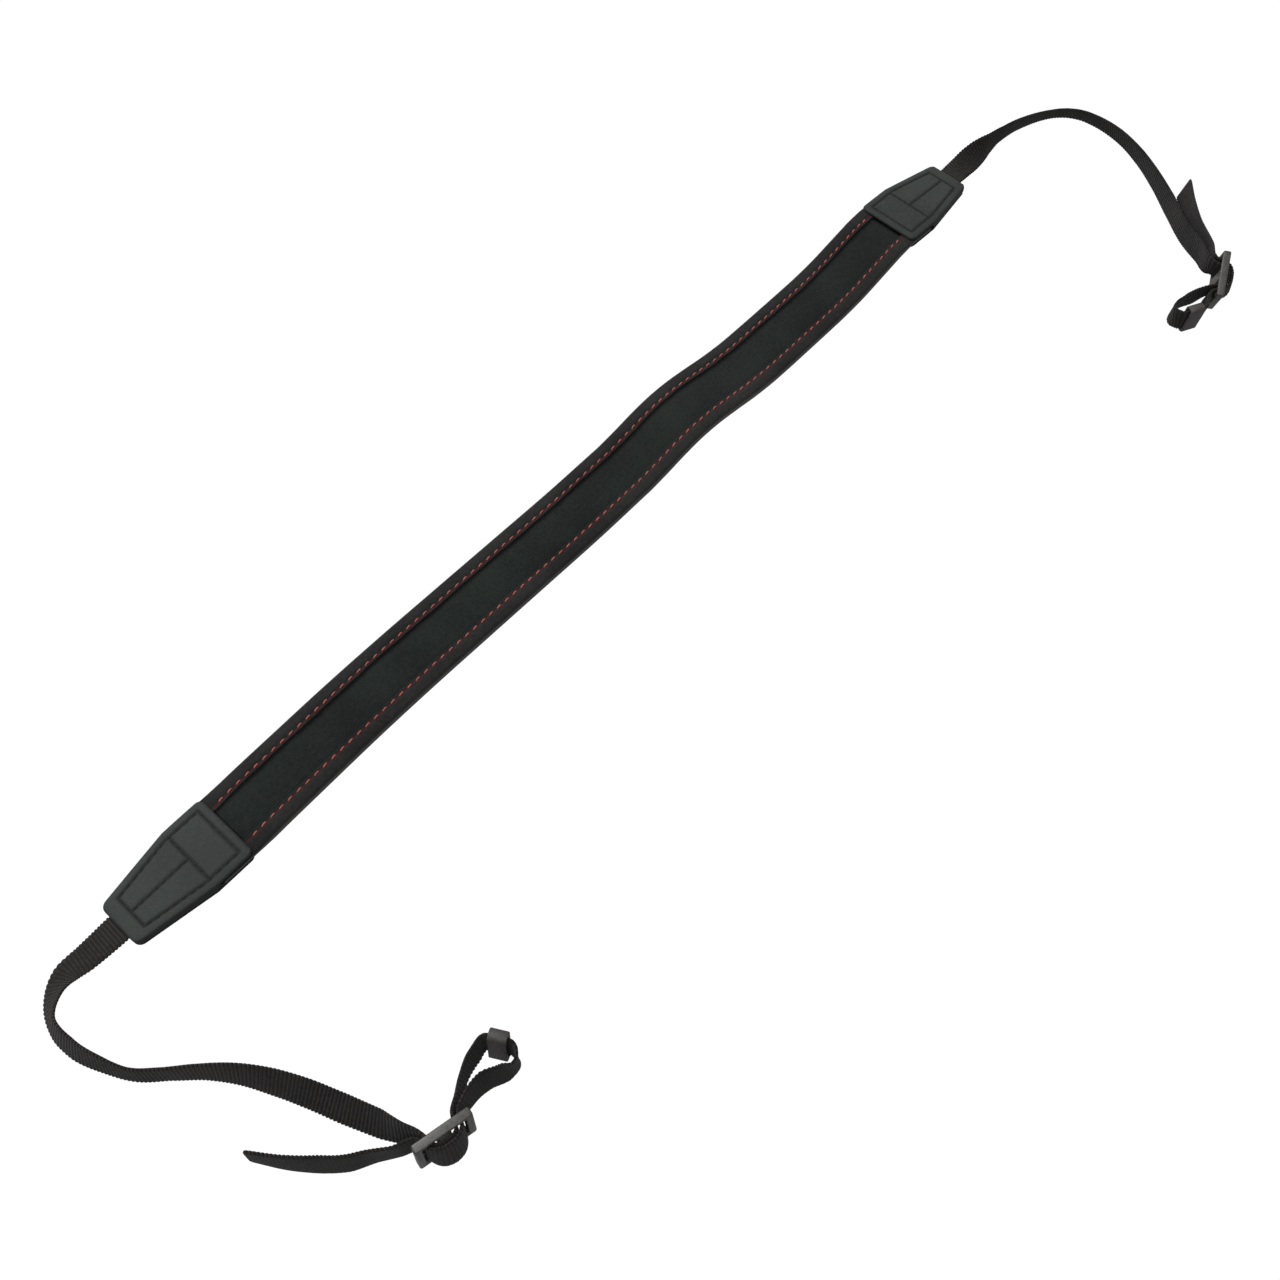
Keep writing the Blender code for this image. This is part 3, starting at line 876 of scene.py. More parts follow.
@dataclass
class Tab:
    """A leather tab: two layers sewn round the end of the pad and the start of the webbing."""

    side: Side
    length: float = 41.5 * MM
    wide: float = 25.6 * MM
    narrow: float = 17.0 * MM
    straight: float = 15.0 * MM
    leather: float = 1.2 * MM
    corner: float = 2.2 * MM
    pad_inside: float = 12.0 * MM
    over_pad: float = 3.8 * MM
    over_webbing: float = 2.9 * MM
    at_edge: float = 1.5 * MM
    webbing_width: float = 10.0 * MM
    inset: float = 3.1 * MM
    end_inset: float = 5.2 * MM
    cross: float = 14.5 * MM
    groove: float = 0.42 * MM
    groove_width: float = 0.55 * MM
    back_groove: float = 0.12 * MM
    beside_reach: float = 3.0 * MM
    step_reach: float = 3.5 * MM
    rim: float = 0.9 * MM
    rim_round: float = 0.7 * MM
    edge_round: float = 0.3 * MM
    crown_reach: float = 3.2 * MM
    puff: float = 0.42 * MM
    puff_lift: float = 0.1 * MM
    thread_lift: float = 0.08 * MM
    thread_sink: float = 0.12 * MM
    pitch: float = 0.45 * MM
    columns: int = 61
    crowding: float = 0.35

    @property
    def matrix(self) -> Matrix:
        """Where the tab lies: x down it from its wide end, z up through its layers."""
        place = TAB_PLACES[self.side]
        turn = Matrix.Rotation(math.radians(place.heading), 4, "Z")
        tilt = Matrix.Rotation(math.radians(place.slope), 4, "Y")
        return Matrix.Translation(Vector(place[:3]) * MM) @ turn @ tilt

    def half_width(self, along: Array) -> Array:
        """Return half of the tab's width at distances from its wide end."""
        taper = np.clip((along - self.straight) / (self.length - self.straight), 0, 1)
        half = (self.wide + (self.narrow - self.wide) * taper) / 2
        to_end = np.minimum(along, self.length - along)
        reach = np.clip(self.corner - to_end, 0, self.corner)
        return half - (self.corner - np.sqrt(self.corner**2 - reach**2))

    def underside(self, along: Array, across: Array) -> Array:
        """Return the height of the front layer's underside."""
        shoulder = self.webbing_width / 2 + 2 * GAP
        beside = smooth(np.clip((np.abs(across) - shoulder) / self.beside_reach, 0, 1))
        over_webbing = self.over_webbing + (self.at_edge - self.over_webbing) * beside
        step = smooth(np.clip((along - self.pad_inside - GAP) / self.step_reach, 0, 1))
        return self.over_pad + (over_webbing - self.over_pad) * step

    def top(self, along: Array) -> Array:
        """Return the height of the front layer's top, before it is sewn down."""
        slope = np.clip((along - self.pad_inside) / (self.length - self.pad_inside), 0, 1)
        level = self.over_pad + (self.over_webbing - self.over_pad) * slope**1.3
        return level + self.leather

    def seams(self) -> list[list[tuple[float, float]]]:
        """Return the sewn lines, as corners along and across the tab."""
        wide_end, narrow_end = self.inset, self.length - self.end_inset
        wide_y = self.wide / 2 - self.inset
        knee = self.straight + 1.0 * MM
        taper = (narrow_end - self.straight) / (self.length - self.straight)
        narrow_y = (self.wide + (self.narrow - self.wide) * taper) / 2 - self.inset
        outline = [
            (wide_end, -wide_y), (knee, -wide_y), (narrow_end, -narrow_y),
            (narrow_end, narrow_y), (knee, wide_y), (wide_end, wide_y), (wide_end, -wide_y),
        ]
        return [outline, [(self.cross, -wide_y), (self.cross, wide_y)],
                [(self.cross, 0.0), (narrow_end, 0.0)]]

    def press(self, along: Array, across: Array) -> Array:
        """Return how far each point is pressed in by the nearest seam, from 0 to 1."""
        nearest = np.full(along.shape, 1.0)
        for seam in self.seams():
            for (ax, ay), (bx, by) in zip(seam, seam[1:]):
                dx, dy = bx - ax, by - ay
                s = np.clip(((along - ax) * dx + (across - ay) * dy) / (dx * dx + dy * dy), 0, 1)
                away = np.hypot(along - ax - s * dx, across - ay - s * dy)
                nearest = np.minimum(nearest, away)
        return np.exp(-((nearest / self.groove_width) ** 2))

    def layer(self, front: bool, finish: bpy.types.Material) -> bpy.types.Object:
        """Build one leather layer.

        Args:
            front: Whether it is the upper layer.
            finish: The leather.

        Returns:
            The layer, with a value called pressed at each point, which also holds the painted
            shade of its rim.
        """
        inner = np.linspace(self.corner, self.length - self.corner,
                            int(self.length / self.pitch))
        ends = self.corner * (1 - np.cos(np.linspace(0, np.pi / 2, 7)[:-1]))
        along = np.concatenate([ends, inner, (self.length - ends)[::-1]])
        even = np.linspace(-1, 1, self.columns)
        shares = self.crowding * np.sin(even * np.pi / 2) + (1 - self.crowding) * even
        half = self.half_width(along)
        x = np.repeat(along[:, None], len(shares), 1)
        y = half[:, None] * shares[None, :]
        under = self.underside(x, y) if front else np.zeros_like(x)
        pressed = self.press(x, y)
        to_rim = np.minimum(half[:, None] - np.abs(y), np.minimum(x, self.length - x))
        rim = np.clip(1 - to_rim / self.rim, 0, 1)
        rounded = self.rim_round * (1 - np.sqrt(np.clip(1 - rim**2, 0, 1)))
        crown = np.clip(to_rim / self.crown_reach, 0, 1)
        puff = self.puff * (crown * (2 - crown) - 1) + self.puff_lift
        if front:
            top = self.top(x) + puff - rounded - self.groove * pressed
            bottom = under + np.minimum(rounded, self.edge_round)
        else:
            top = np.full_like(x, self.leather) - np.minimum(rounded, self.edge_round)
            bottom = rounded * 0.8 + self.back_groove * pressed
        places = np.concatenate(
            [np.stack([x, y, bottom], -1), np.stack([x, y, top], -1)[:, ::-1]], 1
        )
        # Painted shade: the rim and side walls of the tab are darkened all round.
        rim_shade = np.clip(rim * 1.3 - 0.3, 0, 1) ** 2
        above = np.maximum(pressed, 0.8 * rim_shade)[:, ::-1]
        values = np.concatenate([np.maximum(pressed, rim_shade), above], 1)
        rings = moved(self.matrix, places)
        flat = np.concatenate([places[..., :2], places[:, :1, :2]], 1) * 100
        name = "front" if front else "back"
        piece = skin(f"{self.side.value}_tab_{name}_leather", rings, flat, finish)
        paint(piece, "pressed", values)
        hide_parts(f"{self.side.value}_tab_{name}")
        self.area
        return piece

    @property
    def area(self) -> float:
        """The flat area that a layer is cut to."""
        along = np.linspace(0, self.length, 400)
        return float(np.trapz(2 * self.half_width(along), along))

    def sew(self, stitching: Stitching) -> None:
        """Sew the seams on the front layer."""
        turned = self.matrix.to_3x3()
        up = (turned @ Vector((0, 0, 1))).normalized()
        for seam in self.seams():
            for (ax, ay), (bx, by) in zip(seam, seam[1:]):
                count = max(2, int(math.hypot(bx - ax, by - ay) / (0.5 * MM)))
                s = np.linspace(0, 1, count)
                x, y = ax + (bx - ax) * s, ay + (by - ay) * s
                high = self.top(x) - self.groove + self.thread_lift
                line = moved(self.matrix, np.stack([x, y, high], -1))
                stitching.sew(line, np.tile(up, (count, 1)), self.thread_sink)

    def build(self, leather: bpy.types.Material, stitching: Stitching) -> list[bpy.types.Object]:
        """Build both layers and sew them."""
        layers = [self.layer(front, leather) for front in (True, False)]
        self.sew(stitching)
        return layers


@dataclass
class Pad:
    """The pad: a cover folded up round both edges of a panel, sewn with two rows of stitches."""

    width: float = 26.0 * MM
    wall: float = 1.0 * MM
    flat_wall: float = 0.5 * MM
    cavity: float = 1.9 * MM
    flat_cavity: float = 1.0 * MM
    lip: float = 5.9 * MM
    seam: float = 4.9 * MM
    pitch: float = 0.9 * MM
    in_tab: float = 12.0 * MM
    end_lift: float = 1.5 * MM
    open_part: tuple[float, float] = (-166.8 * MM, 160.2 * MM)
    cloth_length: float = 354.5 * MM
    fold_takes: float = 4.0 * MM
    pinch: float = 0.16 * MM
    pinch_wave: float = 0.1 * MM
    pinch_reach: float = 0.6 * MM
    sewn_reach: float = 0.45 * MM
    fold_highlight_reach: float = 0.25 * MM
    lip_swell: float = 0.18 * MM
    lip_round: float = 0.12 * MM
    stray: float = 0.22 * MM
    panel_swell: float = 0.55 * MM
    thread_depth: float = 0.12 * MM
    thread_lift: float = 0.1 * MM
    thread_sink: float = 0.16 * MM
    stitch_pitch: float = 3.6 * MM

    def stations(self) -> dict[str, Array]:
        """Return the middle line of the pad's underside, close along it."""
        xs = [s.x for s in PAD_SECTIONS]
        at = np.linspace(xs[0], xs[-1], int((xs[-1] - xs[0]) * MM / self.pitch))
        return {
            "x": at * MM,
            "y": through(xs, [s.y for s in PAD_SECTIONS], at) * MM,
            "z": np.clip(through(xs, [s.z for s in PAD_SECTIONS], at), 0, None) * MM,
            "flat": np.clip(through(xs, [s.flat for s in PAD_SECTIONS], at), 0, 1),
        }

    @staticmethod
    def stand(ring: Array, line: dict[str, Array], k: int) -> Array:
        """Return a section, given across and up, in its place along the pad."""
        x = np.full(len(ring), line["x"][k])
        return np.stack([x, ring[:, 0] + line["y"][k], ring[:, 1] + line["z"][k]], -1)

    def sizes(self, flat: Array) -> tuple[Array, Array]:
        """Return the wall and the cavity where the pad is pressed flat by a share."""
        wall = self.wall + (self.flat_wall - self.wall) * flat
        cavity = self.cavity + (self.flat_cavity - self.cavity) * flat
        return wall, cavity

    def cover_half(self, wall: float, cavity: float, edge: float, pinch: float) -> Array:
        """Return the right half of the cover's section, from its underside to its inside.

        Args:
            wall: The cloth's thickness.
            cavity: The height of the room inside.
            edge: How far the lip's free edge strays across.
            pinch: How far the seam presses the lip in.

        Returns:
            Points across and up.
        """
        outer, inner = wall + cavity / 2, cavity / 2
        fold_y = self.width / 2 - outer
        lip_y = self.width / 2 - self.lip + edge
        seam_y = self.width / 2 - self.seam
        turn = np.linspace(-np.pi / 2, np.pi / 2, 13)
        fold_out = np.stack([fold_y + outer * np.cos(turn), outer + outer * np.sin(turn)], -1)
        fold_in = np.stack([fold_y + inner * np.cos(turn), outer + inner * np.sin(turn)], -1)
        y = np.linspace(fold_y, lip_y, 22)[1:]
        dip = pinch * np.exp(-(((y - seam_y) / self.pinch_reach) ** 2))
        swell = self.lip_swell * np.sin(np.clip((y - seam_y) / (fold_y - seam_y), 0, 1) * np.pi)
        top = np.stack([y, 2 * outer - dip + swell], -1)
        lip = [[lip_y - self.lip_round, 2 * outer - wall * share] for share in (0.25, 0.75)]
        below = np.stack([np.linspace(lip_y, fold_y, 9)[:-1],
                          np.full(8, 2 * outer - wall)], -1)
        floor_in = np.stack([np.linspace(fold_y, 0, 9)[1:-1], np.full(7, wall)], -1)
        floor_out = np.stack([np.linspace(0, fold_y, 12)[1:-1], np.zeros(10)], -1)
        parts = [floor_out, fold_out, top, lip, below, fold_in[::-1], floor_in]
        return np.concatenate([np.asarray(part, float) for part in parts])

    def cover_ring(self, flat: float, near: float, left: float, pinch: float) -> Array:
        """Return a whole section of the cover, with its two lips straying by their own edges."""
        wall, cavity = self.sizes(flat)
        right = self.cover_half(wall, cavity, near, pinch)
        other = self.cover_half(wall, cavity, left, pinch)[::-1] * [-1, 1]
        return np.concatenate([right, other])

    def pinch_at(self, along: Array) -> Array:
        """Return how far the stitches press the cloth in along the pad."""
        return self.pinch + self.pinch_wave * np.abs(np.sin(np.pi * along / self.stitch_pitch))

    def build_cover(self, finish: bpy.types.Material) -> bpy.types.Object:
        """Build the cover, from inside one tab to inside the other."""
        line = self.stations()
        edge_near = self.stray * ripple(line["x"], (0.047, 0.019, 0.0083), 1.3)
        edge_far = self.stray * ripple(line["x"], (0.041, 0.017, 0.0079), 4.1)
        pinch = self.pinch_at(line["x"])
        rings = []
        for k in range(len(line["x"])):
            ring = self.cover_ring(line["flat"][k], edge_near[k], edge_far[k], pinch[k])
            rings.append(self.stand(ring, line, k))
        flat_ring = self.cover_ring(1.0, 0.0, 0.0, 0.0)
        for side, first in ((Side.NEAR, True), (Side.FAR, False)):
            facing = 1 if side is Side.FAR else -1
            for share in (0.34, 0.67, 1.0):
                local = np.stack([np.full(len(flat_ring), self.in_tab * share),
                                  flat_ring[:, 0] * facing, flat_ring[:, 1] + self.end_lift], -1)
                rings.insert(0 if first else len(rings), moved(Tab(side).matrix, local))
        points = np.array(rings)
        piece = skin("pad_cover_cloth", points, self.cloth_uvs(points), finish)
        width = self.width / 2
        from_seam = np.abs(np.abs(flat_ring[:, 0]) - (width - self.seam))
        outside = (flat_ring[:, 1] > 0.6 * flat_ring[:, 1].max()) | (flat_ring[:, 1] < 0.1 * MM)
        sewn = np.exp(-((from_seam / self.sewn_reach) ** 2)) * outside
        # A painted highlight on the lit outer fold at each edge of the cover.
        fold = np.clip(1 - (width - np.abs(flat_ring[:, 0])) / self.fold_highlight_reach, 0, 1)
        for name, values in (("sewn", sewn), ("fold", fold)):
            paint(piece, name, np.tile(values, len(points)))
        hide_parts("pad_cover")
        return piece

    @staticmethod
    def cloth_uvs(points: Array) -> Array:
        """Return UV places in centimetres, measured round each ring and along the rings."""
        wrapped = np.concatenate([points, points[:, :1]], 1)
        steps = np.linalg.norm(np.diff(wrapped, axis=1), axis=2)
        middle = steps.mean(0)
        u = np.concatenate([[0.0], np.cumsum(middle)])
        return np.stack(np.meshgrid(u, distances(points.mean(1))), -1) * 100

    def build_panel(self, finish: bpy.types.Material) -> bpy.types.Object:
        """Build the padded panel, which swells a little between the lips."""
        line = self.stations()
        rings = []
        for k in range(len(line["x"])):
            wall, cavity = self.sizes(line["flat"][k])
            radius = cavity / 2 - GAP
            fold_y = self.width / 2 - wall - cavity / 2
            turn = np.linspace(-np.pi / 2, np.pi / 2, 7)
            right = np.stack([fold_y + radius * np.cos(turn),
                              wall + cavity / 2 + radius * np.sin(turn)], -1)
            open_half = self.width / 2 - self.lip
            y = np.linspace(fold_y, -fold_y, 61)[1:-1]
            swell = np.clip(1 - (y / (open_half - 0.3 * MM)) ** 2, 0, 1) ** 0.8
            uneven = 1 + 0.25 * math.sin(line["x"][k] / 0.013) * math.sin(line["x"][k] / 0.0047)
            height = self.panel_swell * (1 - line["flat"][k]) * uneven
            top = np.stack([y, wall + cavity / 2 + radius + swell * height], -1)
            bottom = np.stack([np.linspace(-fold_y, fold_y, 15)[1:-1],
                               np.full(13, wall + cavity / 2 - radius)], -1)
            left = right[::-1] * [-1, 1]
            ring = np.concatenate([right, top, left, bottom])
            rings.append(self.stand(ring, line, k))
        points = np.array(rings)
        piece = skin("pad_panel_cloth", points, self.cloth_uvs(points), finish)
        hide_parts("pad_panel")
        return piece

    def sew(self, stitching: Stitching) -> None:
        """Sew both seams, which show on the front and on the back."""
        line = self.stations()
        open_part = (line["x"] > self.open_part[0]) & (line["x"] < self.open_part[1])
        wall, cavity = self.sizes(line["flat"])
        top = line["z"] + 2 * wall + cavity - self.thread_depth
        bottom = line["z"] + self.thread_lift
        for facing in (-1, 1):
            seam_y = line["y"] + facing * (self.width / 2 - self.seam)
            for height, up in ((top, 1), (bottom, -1)):
                points = np.stack([line["x"], seam_y, height], -1)[open_part]
                slope = np.gradient(points, axis=0)
                ups = np.stack([-slope[:, 2] * up, np.zeros(len(slope)), slope[:, 0] * up], -1)
                stitching.sew(points, ups, self.thread_sink)

    def build(
        self, cover: bpy.types.Material, panel: bpy.types.Material, stitching: Stitching
    ) -> list[bpy.types.Object]:
        """Build the cover and the panel, and sew them together."""
        self.sew(stitching)
        cloth = self.build_cover(cover)
        return [cloth, self.build_panel(panel)]


def seat_matrix(seat: Seat) -> Matrix:
    """Return a seat's frame: x along the webbing, y up its width, z out of its front."""
    heading, rise = math.radians(seat.heading), math.radians(seat.rise)
    lean = math.radians(seat.lean)
    along = Vector((math.cos(rise) * math.cos(heading), math.cos(rise) * math.sin(heading),
                    math.sin(rise)))
    left = Vector((-math.sin(heading), math.cos(heading), 0.0))
    across = math.cos(lean) * left + math.sin(lean) * along.cross(left)
    matrix = Matrix((along, across, along.cross(across))).transposed().to_4x4()
    matrix.translation = Vector(seat[:3]) * MM
    return matrix


class Stop(NamedTuple):
    """A place on a webbing's way, with its lean, or the way its width points."""

    place: Vector
    lean: float | None
    across: Vector | None


@dataclass
class Webbing:
    """A narrow webbing with its ribs, from inside its tab to the end of its tail."""

    side: Side
    width: float = 10.0 * MM
    thick: float = 1.1 * MM
    rib: float = 1.15 * MM
    rib_depth: float = 0.2 * MM
    scallop: float = 0.42 * MM
    nose: float = 0.1 * MM
    side_round: float = 0.35 * MM
    end_reach: float = 0.9 * MM
    steps: int = 4
    in_tab: float = 25.0 * MM
    in_tab_height: float = 2.05 * MM
    keeper_half: float = 2.8
    keeper_lead: float = 0.6

    def in_seat(self, seat: Seat, along: float, out: float, tilt: float = 0.0) -> Stop:
        """Return a stop in a seat's frame, with the upper edge tilted back by degrees."""
        matrix = seat_matrix(seat)
        place = matrix @ Vector((along * MM, 0.0, out * MM))
        back = math.radians(tilt)
        across = matrix.to_3x3() @ Vector((0.0, math.cos(back), -math.sin(back)))
        return Stop(place, None, across)

    def from_bends(self, bends: Sequence[Bend]) -> list[Stop]:
        """Return the stops of a stretch that its bends give."""
        stops = []
        for bend in bends:
            lean = math.radians(bend.lean)
            height = bend.lift * MM + self.width / 2 * math.sin(lean)
            height += self.thick / 2 * abs(math.cos(lean))
            stops.append(Stop(Vector((bend.x * MM, bend.y * MM, height)), lean, None))
        return stops

    def over_bar(self, half: Sequence[Weave], start: int) -> list[Stop]:
        """Return the stops through the slider, from one side over to the other."""
        rows = [(start * row.u, row.n, row.tilt) for row in reversed(half)]
        rows += [(-start * row.u, row.n, row.tilt) for row in half[1:]]
        return [self.in_seat(SLIDER_SEATS[self.side], u, n, tilt) for u, n, tilt in rows]

    def in_keeper(self) -> list[Stop]:
        """Return the stops straight through the keeper."""
        outside = self.keeper_half + self.keeper_lead
        places = (-outside, -self.keeper_half, self.keeper_half, outside)
        return [self.in_seat(KEEPER_SEATS[self.side], along, 0.0) for along in places]

    def out_of_tab(self) -> list[Stop]:
        """Return the stops from inside the tab to its narrow end."""
        tab = Tab(self.side)
        across = tab.matrix.to_3x3() @ Vector((0.0, 1.0, 0.0))
        stops = []
        for share in (0.0, 0.5, 1.0):
            along = tab.length - self.in_tab * (1.0 - share) + 1.5 * MM * share
            place = tab.matrix @ Vector((along, 0.0, self.in_tab_height))
            stops.append(Stop(place, None, across))
        return stops

    def stops(self) -> list[Stop]:
        """Return every stop, from inside the tab to the end of the tail."""
        start = -1 if self.side is Side.NEAR else 1
        stops = self.out_of_tab() + self.from_bends(RUNS[self.side])
        stops += self.over_bar(INNER_HALF, start)
        stops += self.from_bends(LOOPS_OUT[self.side]) + self.in_keeper()
        stops += self.from_bends(LOOPS_BACK[self.side])
        stops += self.over_bar(OUTER_HALF, -start)
        return stops + self.from_bends(TAILS[self.side])

    def route(self) -> tuple[Array, Array, Array]:
        """Return the webbing's way, in even steps.

        Returns:
            The middle, the distance along and the way across at each step.
        """
        stops = self.stops()
        points = [stop.place for stop in stops]
        legs = [after - before for before, after in zip(points, points[1:])]
        ways = [legs[0].normalized()]
        for before, after in zip(legs, legs[1:]):
            turn = before.normalized() * after.length + after.normalized() * before.length
            ways.append(turn.normalized())
        ways.append(legs[-1].normalized())
        widths = []
        for way, stop in zip(ways, stops):
            if stop.across is not None:
                widths.append((stop.across - stop.across.dot(way) * way).normalized())
            else:
                left = Vector((-way.y, way.x, 0.0)).normalized()
                widths.append(math.cos(stop.lean) * left + math.sin(stop.lean) * way.cross(left))
        middles, across = [], []
        for k, leg in enumerate(legs):
            s = np.linspace(0, 1, 33)[: 33 if k == len(legs) - 1 else 32, None]
            a, b = np.array(points[k]), np.array(points[k + 1])
            ta, tb = np.array(ways[k]) * leg.length, np.array(ways[k + 1]) * leg.length
            middles.append(curve(s, a, ta, b, tb))
            across.append(np.array(widths[k]) * (1 - s) + np.array(widths[k + 1]) * s)
        middle, wide = np.concatenate(middles), np.concatenate(across)
        far = distances(middle)
        count = int(round(far[-1] / (self.rib / self.steps)))
        even = np.linspace(0, far[-1], count + 1)
        return read_line(even, far, middle), even, self.soften(read_line(even, far, wide))

    @staticmethod
    def soften(values: Array, reach: int = 4) -> Array:
        """Even out a line of directions over a few steps."""
        padded = np.pad(values, ((reach, reach), (0, 0)), mode="edge")
        kernel = np.hanning(2 * reach + 3)[1:-1]
        kernel /= kernel.sum()
        return np.stack([np.convolve(padded[:, c], kernel, "valid") for c in range(3)], -1)

    def build(self, finish: bpy.types.Material) -> bpy.types.Object:
        """Build the webbing, with ribs across it and scalloped edges."""
        centre, far, across = self.route()
        way = np.gradient(centre, axis=0)
        way /= np.linalg.norm(way, axis=1)[:, None]
        across -= (across * way).sum(1)[:, None] * way
        across /= np.linalg.norm(across, axis=1)[:, None]
        out = np.cross(way, across)
        front = np.abs(np.sin(np.pi * far / self.rib)) ** 0.7
        back = np.abs(np.cos(np.pi * far / self.rib)) ** 0.7
        wear = 0.35 + 0.65 * (0.5 + 0.5 * ripple(far, (0.031, 0.0127, 0.0051), 2.0))
        half = self.width / 2
        shares = np.linspace(-1, 1, 13)
        rings, uvs = [], []
        end = np.clip((far[-1] - far) / self.end_reach, 0, 1)
        for k in range(len(centre)):
            depth = self.rib_depth * wear[k]
            reach = half - self.scallop * (1 - front[k]) * (0.6 + 0.4 * wear[k])
            reach *= 0.97 + 0.03 * end[k]
            body = 0.8 + 0.2 * end[k]
            flat, side = reach - self.side_round, reach - self.nose
            top = (self.thick / 2 - depth * (1 - front[k])) * body
            low = (self.thick / 2 - depth * (1 - back[k])) * body
            fall = 1 - 0.12 * np.abs(shares) ** 6
            upper = np.stack([shares * flat, top * fall], -1)
            lower = np.stack([-shares * flat, -low * fall], -1)
            right = [[side, top * 0.55], [reach, 0.0], [side, -low * 0.55]]
            left = [[-side, -low * 0.55], [-reach, 0.0], [-side, top * 0.55]]
            ring = np.concatenate([upper, right, lower, left])
            rings.append(centre[k] + ring[:, :1] * across[k] + ring[:, 1:] * out[k])
            u = np.concatenate([ring[:, 0], ring[:1, 0]])
            uvs.append(np.stack([u, np.full(len(u), far[k])], -1) * 100)
        name = f"{self.side.value}_webbing"
        piece = skin(f"{name}_ribbed", np.array(rings), np.array(uvs), finish)
        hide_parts(name)
        return piece


@dataclass
class Fitting:
    """A moulded piece that the webbing passes: how big it is, and how its edges are eased."""

    side: Side
    finish: bpy.types.Material
    length: float
    width: float
    thick: float
    sharp: float = 40.0
    bevel_from: float = 35.0

    @staticmethod
    def box(size: Sequence[float], middle: Sequence[float]) -> bpy.types.Object:
        """Add a box of a size, with its place in its mesh, and return it alone selected."""
        bpy.ops.object.select_all(action="DESELECT")
        bpy.ops.mesh.primitive_cube_add(size=1.0, location=middle)
        made = bpy.context.active_object
        made.scale = size
        bpy.ops.object.transform_apply(location=True, rotation=False, scale=True)
        return made

    @staticmethod
    def apply(body: bpy.types.Object, kind: str, **values: object) -> None:
        """Put a modifier with its values on a body and apply it."""
        select_only(body)
        modifier = body.modifiers.new(kind.lower(), kind)
        for name, value in values.items():
            setattr(modifier, name, value)
        bpy.ops.object.modifier_apply(modifier=modifier.name)

    def block(self, name: str, corner: float, edges: Callable[[Vector], bool]) -> bpy.types.Object:
        """Add a block in the middle of the scene and round the edges that a test chooses.

        Args:
            name: The object's name.
            corner: How far they are rounded.
            edges: Tells from an edge's way whether it is rounded.

        Returns:
            The block.
        """
        body = self.box((self.length, self.width, self.thick), (0, 0, 0))
        body.name = name
        bpy.ops.object.mode_set(mode="EDIT")
        bm = bmesh.from_edit_mesh(body.data)
        for edge in bm.edges:
            way = (edge.verts[0].co - edge.verts[1].co).normalized()
            edge.select_set(edges(way))
        bmesh.update_edit_mesh(body.data)
        bpy.ops.mesh.bevel(offset=corner, segments=6, profile=0.5, affect="EDGES")
        bpy.ops.object.mode_set(mode="OBJECT")
        return body

    def cut(self, body: bpy.types.Object, size: Sequence[float], middle: Sequence[float]) -> None:
        """Cut a box out of a body.

        Args:
            body: The body.
            size: The box's size.
            middle: The box's middle.
        """
        cutter = self.box(size, middle)
        self.apply(body, "BOOLEAN", operation="DIFFERENCE", object=cutter)
        bpy.data.objects.remove(cutter, do_unlink=True)

    def ease(self, body: bpy.types.Object, radius: float, segments: int = 3) -> None:
        """Round every sharp edge that is left."""
        self.apply(body, "BEVEL", width=radius, segments=segments, limit_method="ANGLE",
                   angle_limit=math.radians(self.bevel_from))

    def set_in(self, body: bpy.types.Object, seat: Seat, node: str, slot: str) -> bpy.types.Object:
        """Put a finished body in its seat, as a piece that stands for a node."""
        select_only(body)
        body.data.transform(seat_matrix(seat))
        bpy.ops.object.shade_smooth()
        body.data.set_sharp_from_angle(angle=math.radians(self.sharp))
        body.data.materials.clear()
        body.data.materials.append(self.finish)
        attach(body, BODY)
        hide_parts(node)
        return body


@dataclass
class Slider(Fitting):
    """A three-bar slider: two slots between two rails."""

    end_bar: float = 2.3 * MM
    middle_bar: float = 4.3 * MM
    rail: float = 1.2 * MM
    corner: float = 3.2 * MM
    eased: float = 0.58 * MM

    def build(self) -> bpy.types.Object:
        """Build the slider in its seat."""
        body = self.block(f"{self.side.value}_slider_moulded", self.corner,
                          lambda way: abs(way.z) > 0.99)
        slot = (self.length - 2 * self.end_bar - self.middle_bar) / 2
        for along in (-1, 1):
            self.cut(body, (slot, self.width - 2 * self.rail, 3 * self.thick),
                     (along * (self.middle_bar + slot) / 2, 0, 0))
        self.ease(body, self.eased, 4)
        return self.set_in(body, SLIDER_SEATS[self.side], f"{self.side.value}_slider",
                           "slider_plastic")


@dataclass
class Keeper(Fitting):
    """A short sleeve round one layer of webbing."""

    slot_width: float = 10.6 * MM
    slot_thick: float = 1.7 * MM
    corner: float = 1.6 * MM
    eased: float = 0.3 * MM

    def build(self) -> bpy.types.Object:
        """Build the keeper in its seat."""
        body = self.block(f"{self.side.value}_keeper_moulded", self.corner,
                          lambda way: abs(way.x) > 0.99)
        self.cut(body, (2 * self.length, self.slot_width, self.slot_thick), (0, 0, 0))
        self.ease(body, self.eased)
        return self.set_in(body, KEEPER_SEATS[self.side], f"{self.side.value}_keeper",
                           "keeper_plastic")


